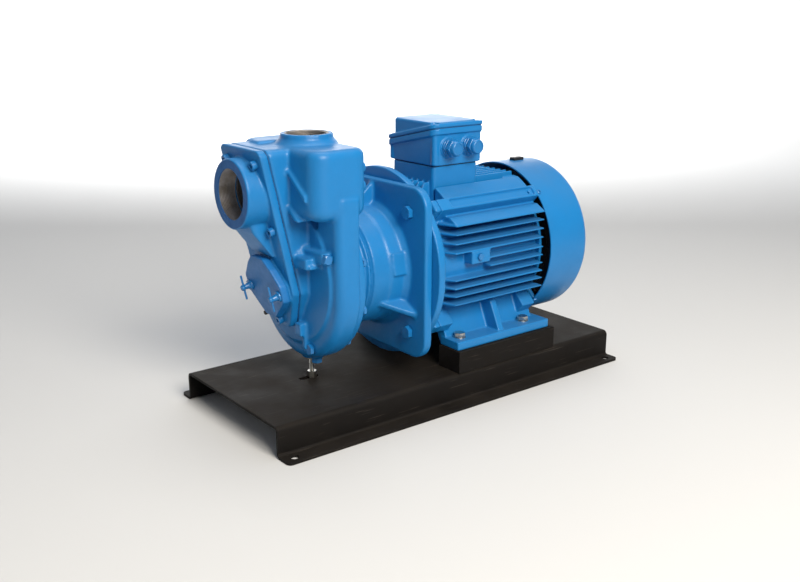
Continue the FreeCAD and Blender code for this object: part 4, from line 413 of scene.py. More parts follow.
def place(mesh: bpy.types.Mesh, name: str, slot: Slot, body: str, nodes: Sequence[str], smooth: float,
          finish: Optional[Finish]) -> Thing:
    """Puts a finished mesh into the scene.

    Args:
        mesh: the mesh, in the part's frame.
        name: the piece's name.
        slot: the record's material slot.
        body: the CAD body it moves with.
        nodes: the CAD nodes it stands for.
        smooth: edges flatter than this many degrees are shaded smooth.
        finish: a finish other than the slot's own.

    Returns:
        The object, at the origin.
    """
    mesh.shade_smooth()
    mesh.set_sharp_from_angle(angle=math.radians(smooth))
    mesh.materials.clear()
    mesh.materials.append((finish or slot.value[1]).material())
    made = linked(name, mesh)
    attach(made, body)
    if nodes:
        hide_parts(*nodes)
    log.info("%s: %d faces on %s", name, len(mesh.polygons), body)
    return made


def dress(mesh: bpy.types.Mesh, node: str, smooth: float, finish: Optional[Finish] = None) -> Thing:
    """Puts a mesh in a CAD node's place: named after it, in its slot and on its body."""
    return place(mesh, node + "_skin", SLOT_OF[node], BODY_OF[node], [node], smooth, finish)


def linked(name: str, data: bpy.types.ID) -> Thing:
    """New object of that data in the scene."""
    made = bpy.data.objects.new(name, data)
    bpy.context.scene.collection.objects.link(made)
    return made


def unit(vector: Sequence[float]) -> Array:
    """Vector of length 1 in the same direction."""
    array = np.array(vector, dtype=float)
    return array / np.linalg.norm(array)


def square_to(axis: Array) -> Array:
    """A unit vector at right angles to axis: axis x the frame direction that it leans to least."""
    return unit(np.cross(axis, np.eye(3)[np.argmin(np.abs(axis))]))


class Section(Enum):
    """Outline of a turned or milled form across its axis."""

    ROUND = 0
    CROSS = 2
    SQUARE = 4
    HEX = 6

    def radius(self, angle: Array, limit: float, half: float) -> Array:
        """Distance of the outline from the axis by angle.

        ROUND is the limit. SQUARE and HEX are half / cos(angle off the nearest flat), cut at the limit, with
        a corner at angle 0. CROSS is the larger of two crossed bars, each min(limit / |cos|, half / |sin|).

        Args:
            angle: angles round the axis.
            limit: largest distance.
            half: half the width across flats or of a bar.

        Returns:
            Distances, shaped as angle.
        """
        if self is Section.ROUND:
            return np.full_like(angle, limit)
        if self is Section.CROSS:
            across, up = np.abs(np.cos(angle)) + 1e-9, np.abs(np.sin(angle)) + 1e-9
            return np.maximum(np.minimum(limit / across, half / up), np.minimum(limit / up, half / across))
        sector = 2 * np.pi / self.value
        return np.minimum(limit, half / np.cos(angle % sector - sector / 2))


Row = tuple[float, float, float, Section]


def ring(height_mm: float, radius_mm: float) -> Row:
    """Round row of a turned form."""
    return (height_mm, radius_mm, radius_mm, Section.ROUND)


def milled(section: Section, low: float, high: float, corner: float, half: float, both: bool = False) -> list[Row]:
    """Rows of a hexagon or square whose corners a 30 degree cone trims at the top, or at both ends.

    The cone's radius is face + (high - height) / tan 30, face being just inside the flats.

    Args:
        section: HEX or SQUARE.
        low: height of its lower end in millimetres.
        high: height of its upper end.
        corner: half the width across corners.
        half: half the width across flats.
        both: whether the lower end is trimmed too.

    Returns:
        The rows from low to high.
    """
    face = 0.97 * half
    drop = (corner - face) * math.tan(math.radians(30))
    share = np.linspace(0.0, 1.0, 5)
    top = [(high - drop * (1 - s), face + (corner - face) * (1 - s), half, section) for s in share]
    foot = [(low + drop * s, face + (corner - face) * s, half, section) for s in share]
    return (foot if both else [(low, corner, half, section)]) + top


def swept(seat: Array, axis: Array, corner: Array, heights: Array, radii: Array) -> Array:
    """Grid about an axis: point = seat + height axis + radius (cos(angle) corner + sin(angle) side).

    Args:
        seat: point at height 0, in metres.
        axis: unit direction of growing height.
        corner: unit direction of angle 0.
        heights: millimetres, shape (rows,).
        radii: millimetres, shape (steps, rows).

    Returns:
        Points of shape (steps, rows, 3).
    """
    angle = np.linspace(0, 2 * np.pi, len(radii), endpoint=False)[:, None, None]
    round_it = np.cos(angle) * corner + np.sin(angle) * np.cross(axis, corner)
    return seat + MM * heights[None, :, None] * axis + MM * radii[..., None] * round_it


def turned(seat: Array, axis: Array, corner: Array, rows: Sequence[Row], steps: int = 48) -> Array:
    """Grid of the rows' outlines, one behind another along the axis."""
    angle = np.linspace(0, 2 * np.pi, steps, endpoint=False)
    radii = np.stack([row[3].radius(angle, row[1], row[2]) for row in rows], axis=1)
    return swept(seat, axis, corner, np.array([row[0] for row in rows]), radii)


def rounded_end(radius: float, blend: float, steps: int = 8) -> list[tuple[float, float]]:
    """Rounded end of a bar: (way in, radius) on a quarter circle of radius blend, and the end's middle."""
    turn = np.radians(np.linspace(0, 90, steps))
    return [(0.0, 0.0)] + [(blend * (1 - math.cos(t)), radius - blend * (1 - math.sin(t))) for t in turn]


def thread(heights: Array, steps: int, major: float, pitch: float, depth: float) -> Array:
    """Radii of a screw thread: major - depth |2 frac(height / pitch - angle / 360) - 1|, its crests flattened.

    Args:
        heights: millimetres along the axis.
        steps: number of angles.
        major: radius of the outermost part of the thread.
        pitch: distance between two turns.
        depth: how deep the thread is.

    Returns:
        Radii of shape (steps, heights).
    """
    angle = np.linspace(0, 1, steps, endpoint=False)[:, None]
    saw = np.abs(2 * np.mod(heights[None, :] / pitch - angle, 1.0) - 1)
    return major - depth * np.clip(1.3 * saw - 0.15, 0.0, 1.0)


# Copies of the CAD nodes


CAST_DEGREES = 60.0
CLEAN_DEGREES = 30.0
JOIN_STEP = 5e-6


def points_of(mesh: bpy.types.Mesh) -> Array:
    """Places of a mesh's points, shape (points, 3)."""
    flat = np.empty(len(mesh.vertices) * 3, dtype=np.float32)
    mesh.vertices.foreach_get("co", flat)
    return flat.reshape(-1, 3)


def solids_of(node: str) -> list[Array]:
    """Points of each separate solid in a CAD node.

    Equal points are joined, then every point takes the lowest number found in its triangles, over and
    over, until nothing changes: what shares a number is one solid.
    """
    mesh = frame["nodes"][node].data
    corners = np.empty(len(mesh.loops), dtype=np.int64)
    mesh.loops.foreach_get("vertex_index", corners)
    steps = np.round(points_of(mesh) / POINT_STEP).astype(np.int64)
    places, same = np.unique(steps, axis=0, return_inverse=True)
    triangles = same.ravel()[corners].reshape(-1, 3)
    label = np.arange(len(places))
    while True:
        lower = label.copy()
        np.minimum.at(lower, triangles.ravel(), np.repeat(label[triangles].min(axis=1), 3))
        lower = lower[lower]
        if (lower == label).all():
            break
        label = lower
    return [places[label == number] * POINT_STEP for number in np.unique(label)]


def merged_copy(node: str) -> bpy.types.Mesh:
    """Copy of a CAD node's mesh with its loose triangles joined."""
    mesh = frame["nodes"][node].data.copy()
    work = bmesh.new()
    work.from_mesh(mesh)
    bmesh.ops.remove_doubles(work, verts=work.verts, dist=JOIN_STEP)
    work.to_mesh(mesh)
    work.free()
    return mesh


def evaluated(mesh: bpy.types.Mesh, settings: Sequence[tuple[str, dict]]) -> bpy.types.Mesh:
    """Mesh after a row of modifiers, each given as its type and its properties."""
    scratch = linked("scratch", mesh)
    for kind, values in settings:
        modifier = scratch.modifiers.new(kind.lower(), kind)
        for key, value in values.items():
            setattr(modifier, key, value)
    bpy.context.view_layer.update()
    result = bpy.data.meshes.new_from_object(scratch.evaluated_get(bpy.context.evaluated_depsgraph_get()))
    bpy.data.objects.remove(scratch)
    return result


def cast_skin(node: str, voxel_mm: float, passes: int, finish: Optional[Finish] = None,
              added: Sequence[Shell] = (), cut: Optional[Shell] = None) -> Thing:
    """Cast version of a CAD node: every edge and corner softened as a sand mould leaves it.

    The joined copy is rebuilt on a voxel grid and relaxed, so that outer edges get a radius and
    inner ones a fillet of about voxel times the square root of the passes.

    Args:
        node: the CAD node.
        voxel_mm: size of the voxels.
        passes: number of smoothing passes.
        finish: a finish other than the slot's own.
        added: closed forms that the voxel grid fuses with the node.
        cut: closed form that is cut away first.

    Returns:
        The object that replaces the node.
    """
    mesh = merged_copy(node)
    if cut:
        cutter = linked("cutter", cut.mesh("cutter"))
        mesh = evaluated(mesh, [("BOOLEAN", {"operation": "DIFFERENCE", "solver": "EXACT", "object": cutter})])
        bpy.data.objects.remove(cutter)
    work = bmesh.new()
    work.from_mesh(mesh)
    for shell in added:
        work.from_mesh(shell.mesh("added"))
    work.to_mesh(mesh)
    work.free()
    mesh = evaluated(mesh, [
        ("REMESH", {"mode": "VOXEL", "voxel_size": voxel_mm * MM, "adaptivity": 0.0}),
        ("SMOOTH", {"factor": 0.5, "iterations": passes})])
    triangles = 2 * len(mesh.polygons)
    if triangles > TRIANGLE_LIMIT:
        mesh = evaluated(mesh, [("DECIMATE", {"ratio": TRIANGLE_LIMIT / triangles})])
    return dress(mesh, node, CAST_DEGREES, finish)


def clean_skin(node: str, finish: Optional[Finish] = None) -> Thing:
    """Smoothly shaded copy of a CAD node."""
    return dress(merged_copy(node), node, CLEAN_DEGREES, finish)


# Studio


@dataclass(frozen=True)
class Studio:
    """Camera, floor and lamps.

    Args:
        eye: camera place that was fitted to the picture.
        yaw: degrees from +Y towards +X.
        pitch: degrees above the horizon.
        lens: focal length in millimetres on a 36 mm wide sensor.
        lamps: name, place, aim, size in metres, power in watts and sRGB colour of each soft lamp.
        sky: strength of the even light from all round.
        air: colour of that light.
        paper: colour of the floor.
        flat: how far the floor is flat, in metres.
        rise: distance beyond that in which it climbs by 1 m.
        edge: how far out it ends.
    """

    eye: Vec = (-0.965, -1.213, 0.606)
    yaw: float = 37.88
    pitch: float = -16.37
    lens: float = 43.92
    lamps: tuple[tuple[str, Vec, Vec, float, float, str], ...] = (
        ("key", (-0.4, -2.1, 1.7), (0.0, 0.0, 0.2), 1.2, 88.0, "#fff7ea"),
        ("top", (0.3, 0.2, 2.6), (0.0, 0.0, 0.2), 1.6, 24.0, "#ffffff"),
        ("side", (-2.4, 0.2, 1.4), (0.0, 0.0, 0.2), 1.6, 2.0, "#ffffff"),
        ("backdrop", (1.4, 2.4, 2.6), (3.4, 5.0, 0.6), 2.0, 300.0, "#ffffff"))
    sky: float = 0.24
    air: str = "#dce9ff"
    paper: str = "#d0d0cf"
    flat: float = 2.6
    rise: float = 2.0
    edge: float = 7.0

    def camera(self) -> None:
        """Adds the camera and makes it the scene's."""
        data = bpy.data.cameras.new("camera")
        data.lens = self.lens
        data.sensor_width = 36.0
        data.clip_start = 0.02
        made = linked("camera", data)
        made.location = self.eye
        made.rotation_euler = (math.radians(90 + self.pitch), 0.0, math.radians(-self.yaw))
        bpy.context.scene.camera = made

    def floor(self) -> None:
        """Pale sweep a hair below the feet: z = ((d - flat) / rise)^2 where its distance d is past flat."""
        hair = 0.0002
        angles = np.linspace(0, 2 * np.pi, 96, endpoint=False)[:, None]
        reach = np.linspace(MM, self.edge, 60)[None, :]
        height = ((reach - self.flat).clip(0, None) / self.rise) ** 2 + 0 * angles
        points = np.stack([reach * np.cos(angles), reach * np.sin(angles), height - hair], axis=-1)
        mesh = Shell.of(points).mesh("floor")
        mesh.shade_smooth()
        paper = bpy.data.materials.new("pale_studio_paper")
        paper.use_nodes = True
        shader = paper.node_tree.nodes["Principled BSDF"]
        shader.inputs["Base Color"].default_value = linear(self.paper)
        shader.inputs["Roughness"].default_value = 0.9
        mesh.materials.append(paper)
        linked("floor", mesh)

    def lights(self) -> None:
        """Soft square lamps that look at the pump, and an even sky."""
        for name, where, aim, size, power, colour in self.lamps:
            data = bpy.data.lights.new(name, "AREA")
            data.shape = "SQUARE"
            data.size = size
            data.energy = power
            data.color = linear(colour)[:3]
            made = linked(name, data)
            made.location = where
            made.rotation_euler = (Vector(aim) - Vector(where)).to_track_quat("-Z", "Y").to_euler()
        world = bpy.data.worlds.new("sky")
        world.use_nodes = True
        world.node_tree.nodes["Background"].inputs["Color"].default_value = linear(self.air)
        world.node_tree.nodes["Background"].inputs["Strength"].default_value = self.sky
        bpy.context.scene.world = world
        bpy.context.scene.view_settings.view_transform = "Standard"

    def build(self) -> None:
        """Makes all of it."""
        self.camera()
        self.floor()
        self.lights()


# Pieces


def cover_x(z_mm: Array) -> Array:
    """X in millimetres on the front cover's face, which falls back below its top: x_top + (z_top - z) tan 13."""
    x_top, z_top = COVER_TOP_MM
    return x_top + (z_top - z_mm) * COVER_TILT


def rounded_outline(corners: Sequence[tuple[float, float]], radius: float, steps: int = 6) -> Array:
    """Closed outline whose corners are curves: (1-t)^2 start + 2t(1-t) corner + t^2 end.

    Args:
        corners: the corners in order.
        radius: radius of the curve, which starts radius / tan(half the corner's angle) before it.
        steps: points of each curve.

    Returns:
        Points of shape (corners * steps, 2).
    """
    here = np.array(corners, dtype=float)
    back, ahead = np.roll(here, 1, axis=0) - here, np.roll(here, -1, axis=0) - here
    back /= np.linalg.norm(back, axis=1, keepdims=True)
    ahead /= np.linalg.norm(ahead, axis=1, keepdims=True)
    reach = radius / np.tan(np.arccos((back * ahead).sum(axis=1, keepdims=True)) / 2)
    t = np.linspace(0, 1, steps)[None, :, None]
    start, end = (here + back * reach)[:, None], (here + ahead * reach)[:, None]
    return ((1 - t) ** 2 * start + 2 * t * (1 - t) * here[:, None] + t ** 2 * end).reshape(-1, 2)


def blocks(boxes: Sequence[Sequence[float]]) -> Shell:
    """Closed blocks, each given by its lowest and highest x, y and z in millimetres."""
    shell = Shell()
    for x0, x1, y0, y1, z0, z1 in boxes:
        outline = [(y0, z0), (y1, z0), (y1, z1), (y0, z1)]
        shell.grid(np.array([[(x, y, z) for x in (x0, x1)] for y, z in outline]) * MM, caps=True)
    return shell


@dataclass
class Castings:
    """Castings, and the cast forms that are fused with them or cut from them.

    Args:
        skins: voxel size in millimetres and smoothing passes of each casting.
        chest_corners: (y, z) corners of the chest's wall in millimetres, drawn in towards chest_middle.
        chest_round_mm: radius of its corners.
        chest_skin_mm: how thick the wall is; it runs from chest_front_mm behind the cover to x chest_rear_mm.
        plug_blocks: lowest and highest x, y and z of each block round the two plugs.
        plug_clearing: the same of what is cut away round the upper one.
        pad_seat: centre of the scroll's round face, 2 mm near and 5 mm above the shaft.
        pad_rise_mm: how far that face stands up; it is sunk in by pad_root_mm.
        pad_radii_mm: its inner and outer radius.
        neck_mm: (x, z) outline of the wedge that is cut from under the suction boss.
        neck_half_mm: half the wedge's width.
    """

    skins: dict[str, tuple[float, int]] = field(default_factory=lambda: {
        "lantern_bracket": (1.9, 5), "seal_housing": (1.9, 4), "drive_shield": (1.9, 3), "rear_shield": (1.9, 3),
        "stator_frame": (1.35, 2), "terminal_box": (1.2, 3), "terminal_lid": (1.2, 3), "impeller": (1.6, 3),
        "pump_casing": (2.0, 6), "front_cover": (1.5, 5), "cleanout_cover": (1.1, 4)})
    chest_corners: tuple[tuple[float, float], ...] = ((-57, 415), (57, 415), (53, 202), (20, 142), (-20, 142),
                                                      (-53, 202))
    chest_middle: tuple[float, float] = (0.0, 290.0)
    chest_round_mm: float = 12.0
    chest_skin_mm: float = 6.5
    chest_front_mm: float = 20.0
    chest_rear_mm: float = -219.0
    plug_blocks: tuple[tuple[float, ...], ...] = (
        (-255, -236, -84, -50, 245, 261.5), (-240.5, -227.5, -104, -50, 254.5, 271.5),
        (-242, -224, -44, -28, 132.5, 153.5), (-235, -222, -44, -36, 111.5, 134.5))
    plug_clearing: tuple[tuple[float, ...], ...] = ((-258, -226.3, -110, -57.2, 251, 275.5),
                                                    (-268, -226.3, -110, -57.2, 276.5, 315.5))
    pad_seat: Vec = (-0.226, -0.002, SHAFT_Z + 0.005)
    pad_rise_mm: float = 4.0
    pad_radii_mm: tuple[float, float] = (45.0, 104.5)
    pad_root_mm: float = 6.5
    neck_mm: tuple[tuple[float, float], ...] = ((-308.0, 299.0), (-276.0, 257.5), (-275.5, 250.0), (-335.0, 250.0),
                                                (-335.0, 299.0))
    neck_half_mm: float = 45.0

    def build(self) -> None:
        """Softens each casting, some with forms added or cut away."""
        extras = {"pump_casing": {"added": [self.chest_side(), self.scroll_pad(), blocks(self.plug_blocks)],
                                  "cut": blocks(self.plug_clearing)},
                  "front_cover": {"cut": self.neck_wedge()},
                  "cleanout_cover": {"finish": RUBBED_ENAMEL}}
        for node, (voxel, passes) in self.skins.items():
            cast_skin(node, voxel, passes, **extras.get(node, {}))

    def chest_side(self) -> Shell:
        """Wall that brings the chest's sides flush with the cover: the outline, and the same drawn in."""
        outer = rounded_outline(self.chest_corners, self.chest_round_mm)
        away = outer - np.array(self.chest_middle)
        inner = outer - self.chest_skin_mm * away / np.abs(away).max(axis=1, keepdims=True)
        front = cover_x(outer[:, 1]) + self.chest_front_mm
        rear = np.full(len(outer), self.chest_rear_mm)
        rows = [(front, outer), (rear, outer), (rear, inner), (front, inner)]
        return Shell.of(np.stack([np.column_stack([x, yz]) for x, yz in rows], axis=1) * MM, closed=(True, True))

    def scroll_pad(self) -> Shell:
        """Raised round face of the scroll, a ring whose outer edge is broken by 1 mm."""
        rise, root, (inner, outer) = self.pad_rise_mm, -self.pad_root_mm, self.pad_radii_mm
        rows = [ring(root, inner), ring(rise, inner), ring(rise, outer - 1), ring(rise - 1, outer), ring(root, outer)]
        return Shell.of(turned(np.array(self.pad_seat), -X_AXIS, Y_AXIS, rows, 96), closed=(True, True))

    def neck_wedge(self) -> Shell:
        """Wedge that draws the neck under the suction boss down to the cleanout: a prism along Y."""
        sides = (-self.neck_half_mm, self.neck_half_mm)
        return Shell.of(np.array([[(x, y, z) for y in sides] for x, z in self.neck_mm]) * MM, caps=True)


@dataclass(frozen=True)
class Port:
    """Bare turned mouth of a port with its pipe thread, and the painted face round it.

    Args:
        name: which port it is.
        mouth: centre of its face in metres.
        axis: direction into the port.
        major_mm: radius of the thread's outermost part.
        length_mm: length of the threaded part.
        passage_mm: radius of the passage behind it.
        depth_mm: how far in the bare surface goes.
        boss_mm: radius of the boss, or 0 where its face isn't drawn.
        finish: the turned iron.
        pitch_mm: way of one turn of the thread.
        thread_depth_mm: how deep the thread is.
        chamfer_mm: where the thread starts behind the mouth.
        proud_mm: how far the bare rim stands out of the casting's face, so that it shows.
        inset_mm: how far thread and passage stand in from the casting's own walls, so that they show.
        rim_mm: how far past the thread's radius the bare rim starts and ends.
        face_mm: how far inside the thread's radius the painted face starts, and inside the boss's it ends.
        steps: points round it.
    """

    name: str
    mouth: Vec
    axis: Vec
    major_mm: float
    length_mm: float
    passage_mm: float
    depth_mm: float
    boss_mm: float
    finish: Finish
    pitch_mm: float = 2.309
    thread_depth_mm: float = 1.3
    chamfer_mm: float = 1.6
    proud_mm: float = 0.04
    inset_mm: tuple[float, float] = (0.15, 0.1)
    rim_mm: tuple[float, float] = (1.5, 2.0)
    face_mm: tuple[float, float] = (1.1, 2.2)
    steps: int = 96

    def build(self) -> None:
        """Makes the bare thread sleeve and, on a boss that is drawn, its painted face."""
        self.sleeve().piece(self.name + "_bore_skin", Slot.IRON, "housing", self.finish)
        if self.boss_mm:
            self.face().piece(self.name + "_face_skin", Slot.PUMP, "housing", FACE_ENAMEL)

    def sleeve(self) -> Shell:
        """Out along the hidden back, round the mouth's chamfer, and in over the thread."""
        ways = np.arange(self.chamfer_mm, self.length_mm - 0.5, self.pitch_mm / 8)
        major, passage = self.major_mm - self.inset_mm[0], self.passage_mm - self.inset_mm[1]
        mouth, (rim_in, rim_out) = -self.proud_mm, self.rim_mm
        lead = np.array([(self.depth_mm, self.major_mm + 0.2), (1.0, self.major_mm + 0.6),
                         (mouth, self.major_mm + rim_out), (mouth, self.major_mm + rim_in)])
        tail = np.array([(self.length_mm, major), (self.length_mm, passage), (self.depth_mm, passage)])
        heights = np.concatenate([lead[:, 0], ways, tail[:, 0]])
        radii = np.hstack([np.tile(lead[:, 1], (self.steps, 1)),
                           thread(ways, self.steps, major, self.pitch_mm, self.thread_depth_mm),
                           np.tile(tail[:, 1], (self.steps, 1))])
        axis = unit(self.axis)
        return Shell.of(swept(np.array(self.mouth), axis, square_to(axis), heights, radii), closed=(True, True))

    def face(self) -> Shell:
        """Ring from the thread's edge to the boss's, a hair proud of the casting, its outer rim broken."""
        back, hair, rim = 1.5, -0.05, 0.35
        inner, outer = self.major_mm - self.face_mm[0], self.boss_mm - self.face_mm[1]
        rows = [ring(back, inner), ring(hair, inner), ring(hair, outer), ring(0.3, outer + rim),
                ring(back, outer + rim)]
        axis = unit(self.axis)
        return Shell.of(turned(np.array(self.mouth), axis, square_to(axis), rows, self.steps), closed=(True, True))


class Head(Enum):
    """Kinds of screw heads and of what goes with screws."""

    HEX = "hexagon head"
    SQUARE = "square head"
    SOCKET = "cylinder head with a hexagon socket"
    PAN = "domed head with a cross recess"
    NUT = "hexagon nut"
    WASHER = "flat washer"


Rule = Callable[[Array], tuple[Head, Sequence[float]]]


@dataclass(frozen=True)
class Screw:
    """What a screw's CAD solid measures, lengths in millimetres.

    Args:
        seat: centre of its head's underside in metres.
        axis: direction out of the head.
        corner: direction of a corner of the head.
        reach: distance of that corner from the axis.
        head: height of the head.
        bore: radius of the shank, or of the hole in a nut or washer.
        length: length of the shank below the seat.
    """

    seat: Array
    axis: Array
    corner: Array
    reach: float
    head: float
    bore: float
    length: float

    @classmethod
    def read(cls, points: Array, direction: Sequence[float]) -> "Screw":
        """Measures a solid's points: the head is what lies as far out as the farthest points."""
        rim_share, step = 0.97, 1e-4
        axis = unit(direction)
        across = square_to(axis)
        plane = np.stack([across, np.cross(axis, across)])
        flat = points @ plane.T
        middle = (flat.max(axis=0) + flat.min(axis=0)) / 2
        away = np.linalg.norm(flat - middle, axis=1)
        height = points @ axis
        seat = height[away > rim_share * away.max()].min()
        below = height < seat - step
        bore = away[below].max() if below.any() else away.min()
        corner = (flat - middle)[np.argmax(away)] @ plane
        return cls(middle @ plane + seat * axis, axis, unit(corner), away.max() / MM, (height.max() - seat) / MM,
                   bore / MM, (seat - height.min()) / MM)

    def shank(self) -> list[Row]:
        """Rows of the plain shank from its tip to the seat, with a turned point."""
        point = 0.15 * self.bore
        return [ring(-self.length, 0), ring(-self.length, self.bore - point), ring(point - self.length, self.bore),
                ring(0, self.bore)]

    def form(self, rows: Sequence[Row], steps: int = 48) -> Array:
        """Grid of rows about the screw's own axis."""
        return turned(self.seat, self.axis, self.corner, rows, steps)

    def rows(self, head: Head) -> list[Row]:
        """Rows of the whole screw, or of the closed loop of a nut or washer."""
        if head is Head.NUT:
            return self.nut()
        if head is Head.WASHER:
            return self.washer()
        if head is Head.SOCKET:
            return self.shank() + self.socket()
        if head is Head.PAN:
            return self.shank() + self.pan()
        return self.shank() + self.cornered(Section.HEX if head is Head.HEX else Section.SQUARE)

    def cornered(self, section: Section) -> list[Row]:
        """Hexagon or square head on a round foot just inside its flats, a twentieth of its height tall."""
        half = self.reach * math.cos(math.pi / section.value)
        foot, radius = 0.05 * self.head, 0.93 * half
        return ([ring(0, radius), ring(foot, radius)] + milled(section, foot, self.head, self.reach, half)
                + [ring(self.head, 0)])

    def socket(self) -> list[Row]:
        """Cylinder head with broken rims; its hexagon socket is half as deep and 0.46 as wide as the head."""
        reach, top = self.reach, self.head
        half = 0.46 * reach
        corner = half / math.cos(math.pi / 6)
        return [ring(0, reach - 0.3), ring(0.3, reach), ring(top - 0.7, reach), ring(top - 0.2, reach - 0.25),
                ring(top, reach - 0.8), ring(top, corner + 0.25), (top - 0.25, corner, half, Section.HEX),
                (0.5 * top, corner, half, Section.HEX), ring(0.45 * top, 0)]

    def pan(self) -> list[Row]:
        """Dome, height = top (0.3 + 0.7 sin t) and radius = reach cos t up to 62 degrees, with a sunken cross."""
        reach, top = self.reach, self.head
        rise = np.radians(np.linspace(0, 62, 6))
        dome = [ring(0.3 * top + 0.7 * top * math.sin(t), reach * math.cos(t)) for t in rise]
        return [ring(0, reach)] + dome + [(dome[-1][0] + 0.02, 0.46 * reach, 0.13 * reach, Section.CROSS),
                                          (0.4 * top, 0.36 * reach, 0.11 * reach, Section.CROSS), ring(0.3 * top, 0)]

    def nut(self) -> list[Row]:
        """Hexagon nut trimmed on both faces, its hole chamfered."""
        top, hole, chamfer = self.head, self.bore, 0.7
        return milled(Section.HEX, 0, top, self.reach, self.reach * math.cos(math.pi / 6), both=True) + [
            ring(top, hole + chamfer), ring(top - chamfer, hole), ring(chamfer, hole), ring(0, hole + chamfer)]

    def washer(self) -> list[Row]:
        """Flat washer whose outer rims are broken."""
        reach, top, rim = self.reach, self.head, 0.25
        return [ring(0, self.bore), ring(0, reach - rim), ring(rim, reach), ring(top - rim, reach),
                ring(top, reach - rim), ring(top, self.bore)]


def facing(head: Head, direction: Sequence[float]) -> Rule:
    """Rule for screws that all point one way."""
    return lambda points: (head, direction)


def middle_of(points: Array) -> Array:
    """Middle of a solid's box."""
    return (points.max(axis=0) + points.min(axis=0)) / 2


def outwards(points: Array) -> tuple[Head, Sequence[float]]:
    """Fan cover screws point straight away from the shaft."""
    centre = middle_of(points)
    return Head.PAN, (0.0, centre[1], centre[2] - SHAFT_Z)


def shield_side(points: Array) -> tuple[Head, Sequence[float]]:
    """Bolts of the drive end shield point to the pump, those of the rear one to the fan."""
    return Head.HEX, (-1 if middle_of(points)[0] < 0.08 else 1, 0, 0)


def plug_side(points: Array) -> tuple[Head, Sequence[float]]:
    """The upper plug has a square head on the near side, the lower one a hexagon that faces the front."""
    return (Head.SQUARE, (0, -1, 0)) if middle_of(points)[2] > 0.2 else (Head.HEX, (-1, 0, 0))


def stud_ring(points: Array) -> tuple[Head, Sequence[float]]:
    """What is thinner than 3 mm on the stud is a washer, the rest are nuts."""
    return (Head.WASHER if np.ptp(points[:, 2]) < 0.003 else Head.NUT), (0, 0, 1)


@dataclass
class Fasteners:
    """Every screw, plug, nut and washer, rebuilt on what its CAD solid measures.

    Args:
        rules: kind of head and direction of each solid in a node.
        slim: radius of the support stud and its nuts and washers against the CAD's.
        pitch_mm: way of one turn of the stud's thread.
        root_mm: depth of that thread.
        crisp_degrees: edges flatter than this are shaded smooth, which leaves 30 degree chamfers sharp.
    """

    rules: dict[str, Rule] = field(default_factory=lambda: {
        "flange_bolts": facing(Head.HEX, (-1, 0, 0)), "casing_bolts": facing(Head.HEX, (1, 0, 0)),
        "foot_bolts": facing(Head.HEX, (0, 0, 1)), "foot_washers": facing(Head.WASHER, (0, 0, 1)),
        "drain_plug": facing(Head.HEX, (0, 0, -1)), "earth_screw": facing(Head.HEX, (0, -1, 0)),
        "front_cover_screws": facing(Head.SOCKET, (-math.cos(COVER_ANGLE), 0, -math.sin(COVER_ANGLE))),
        "lid_screws": facing(Head.PAN, (0, 0, 1)), "fan_cover_screws": outwards, "shield_bolts": shield_side,
        "casing_plugs": plug_side, "support_nuts": stud_ring})
    slim: float = 0.7
    pitch_mm: float = 1.25
    root_mm: float = 0.7
    crisp_degrees: float = 24.0

    def build(self) -> None:
        """Makes one piece for each node."""
        for node, rule in self.rules.items():
            shell = Shell()
            for points in solids_of(node):
                head, direction = rule(points)
                screw = Screw.read(points, direction)
                if node == "support_nuts":
                    screw = self.slimmed(screw)
                looped = head in (Head.NUT, Head.WASHER)
                shell.grid(screw.form(screw.rows(head)), closed=(True, looped))
            shell.stand_for(node, self.crisp_degrees)
        self.stud()

    def slimmed(self, screw: Screw) -> Screw:
        """The same piece at the photograph's slighter radius."""
        return replace(screw, reach=self.slim * screw.reach, bore=self.slim * screw.bore)

    def stud(self) -> None:
        """Threaded stud under the pump, chamfered at both ends: radius = min(thread, way from the end + root)."""
        screw = self.slimmed(Screw.read(solids_of("support_stud")[0], (0, 0, 1)))
        heights = np.arange(0.0, screw.head + 0.01, self.pitch_mm / 8)
        radii = thread(heights, 36, screw.reach, self.pitch_mm, self.root_mm)
        point = screw.reach - 0.9 + np.minimum(heights, screw.head - heights).clip(0, None)
        rod = swept(screw.seat, screw.axis, screw.corner, heights, np.minimum(radii, point[None, :]))
        Shell.of(rod, caps=True).stand_for("support_stud")


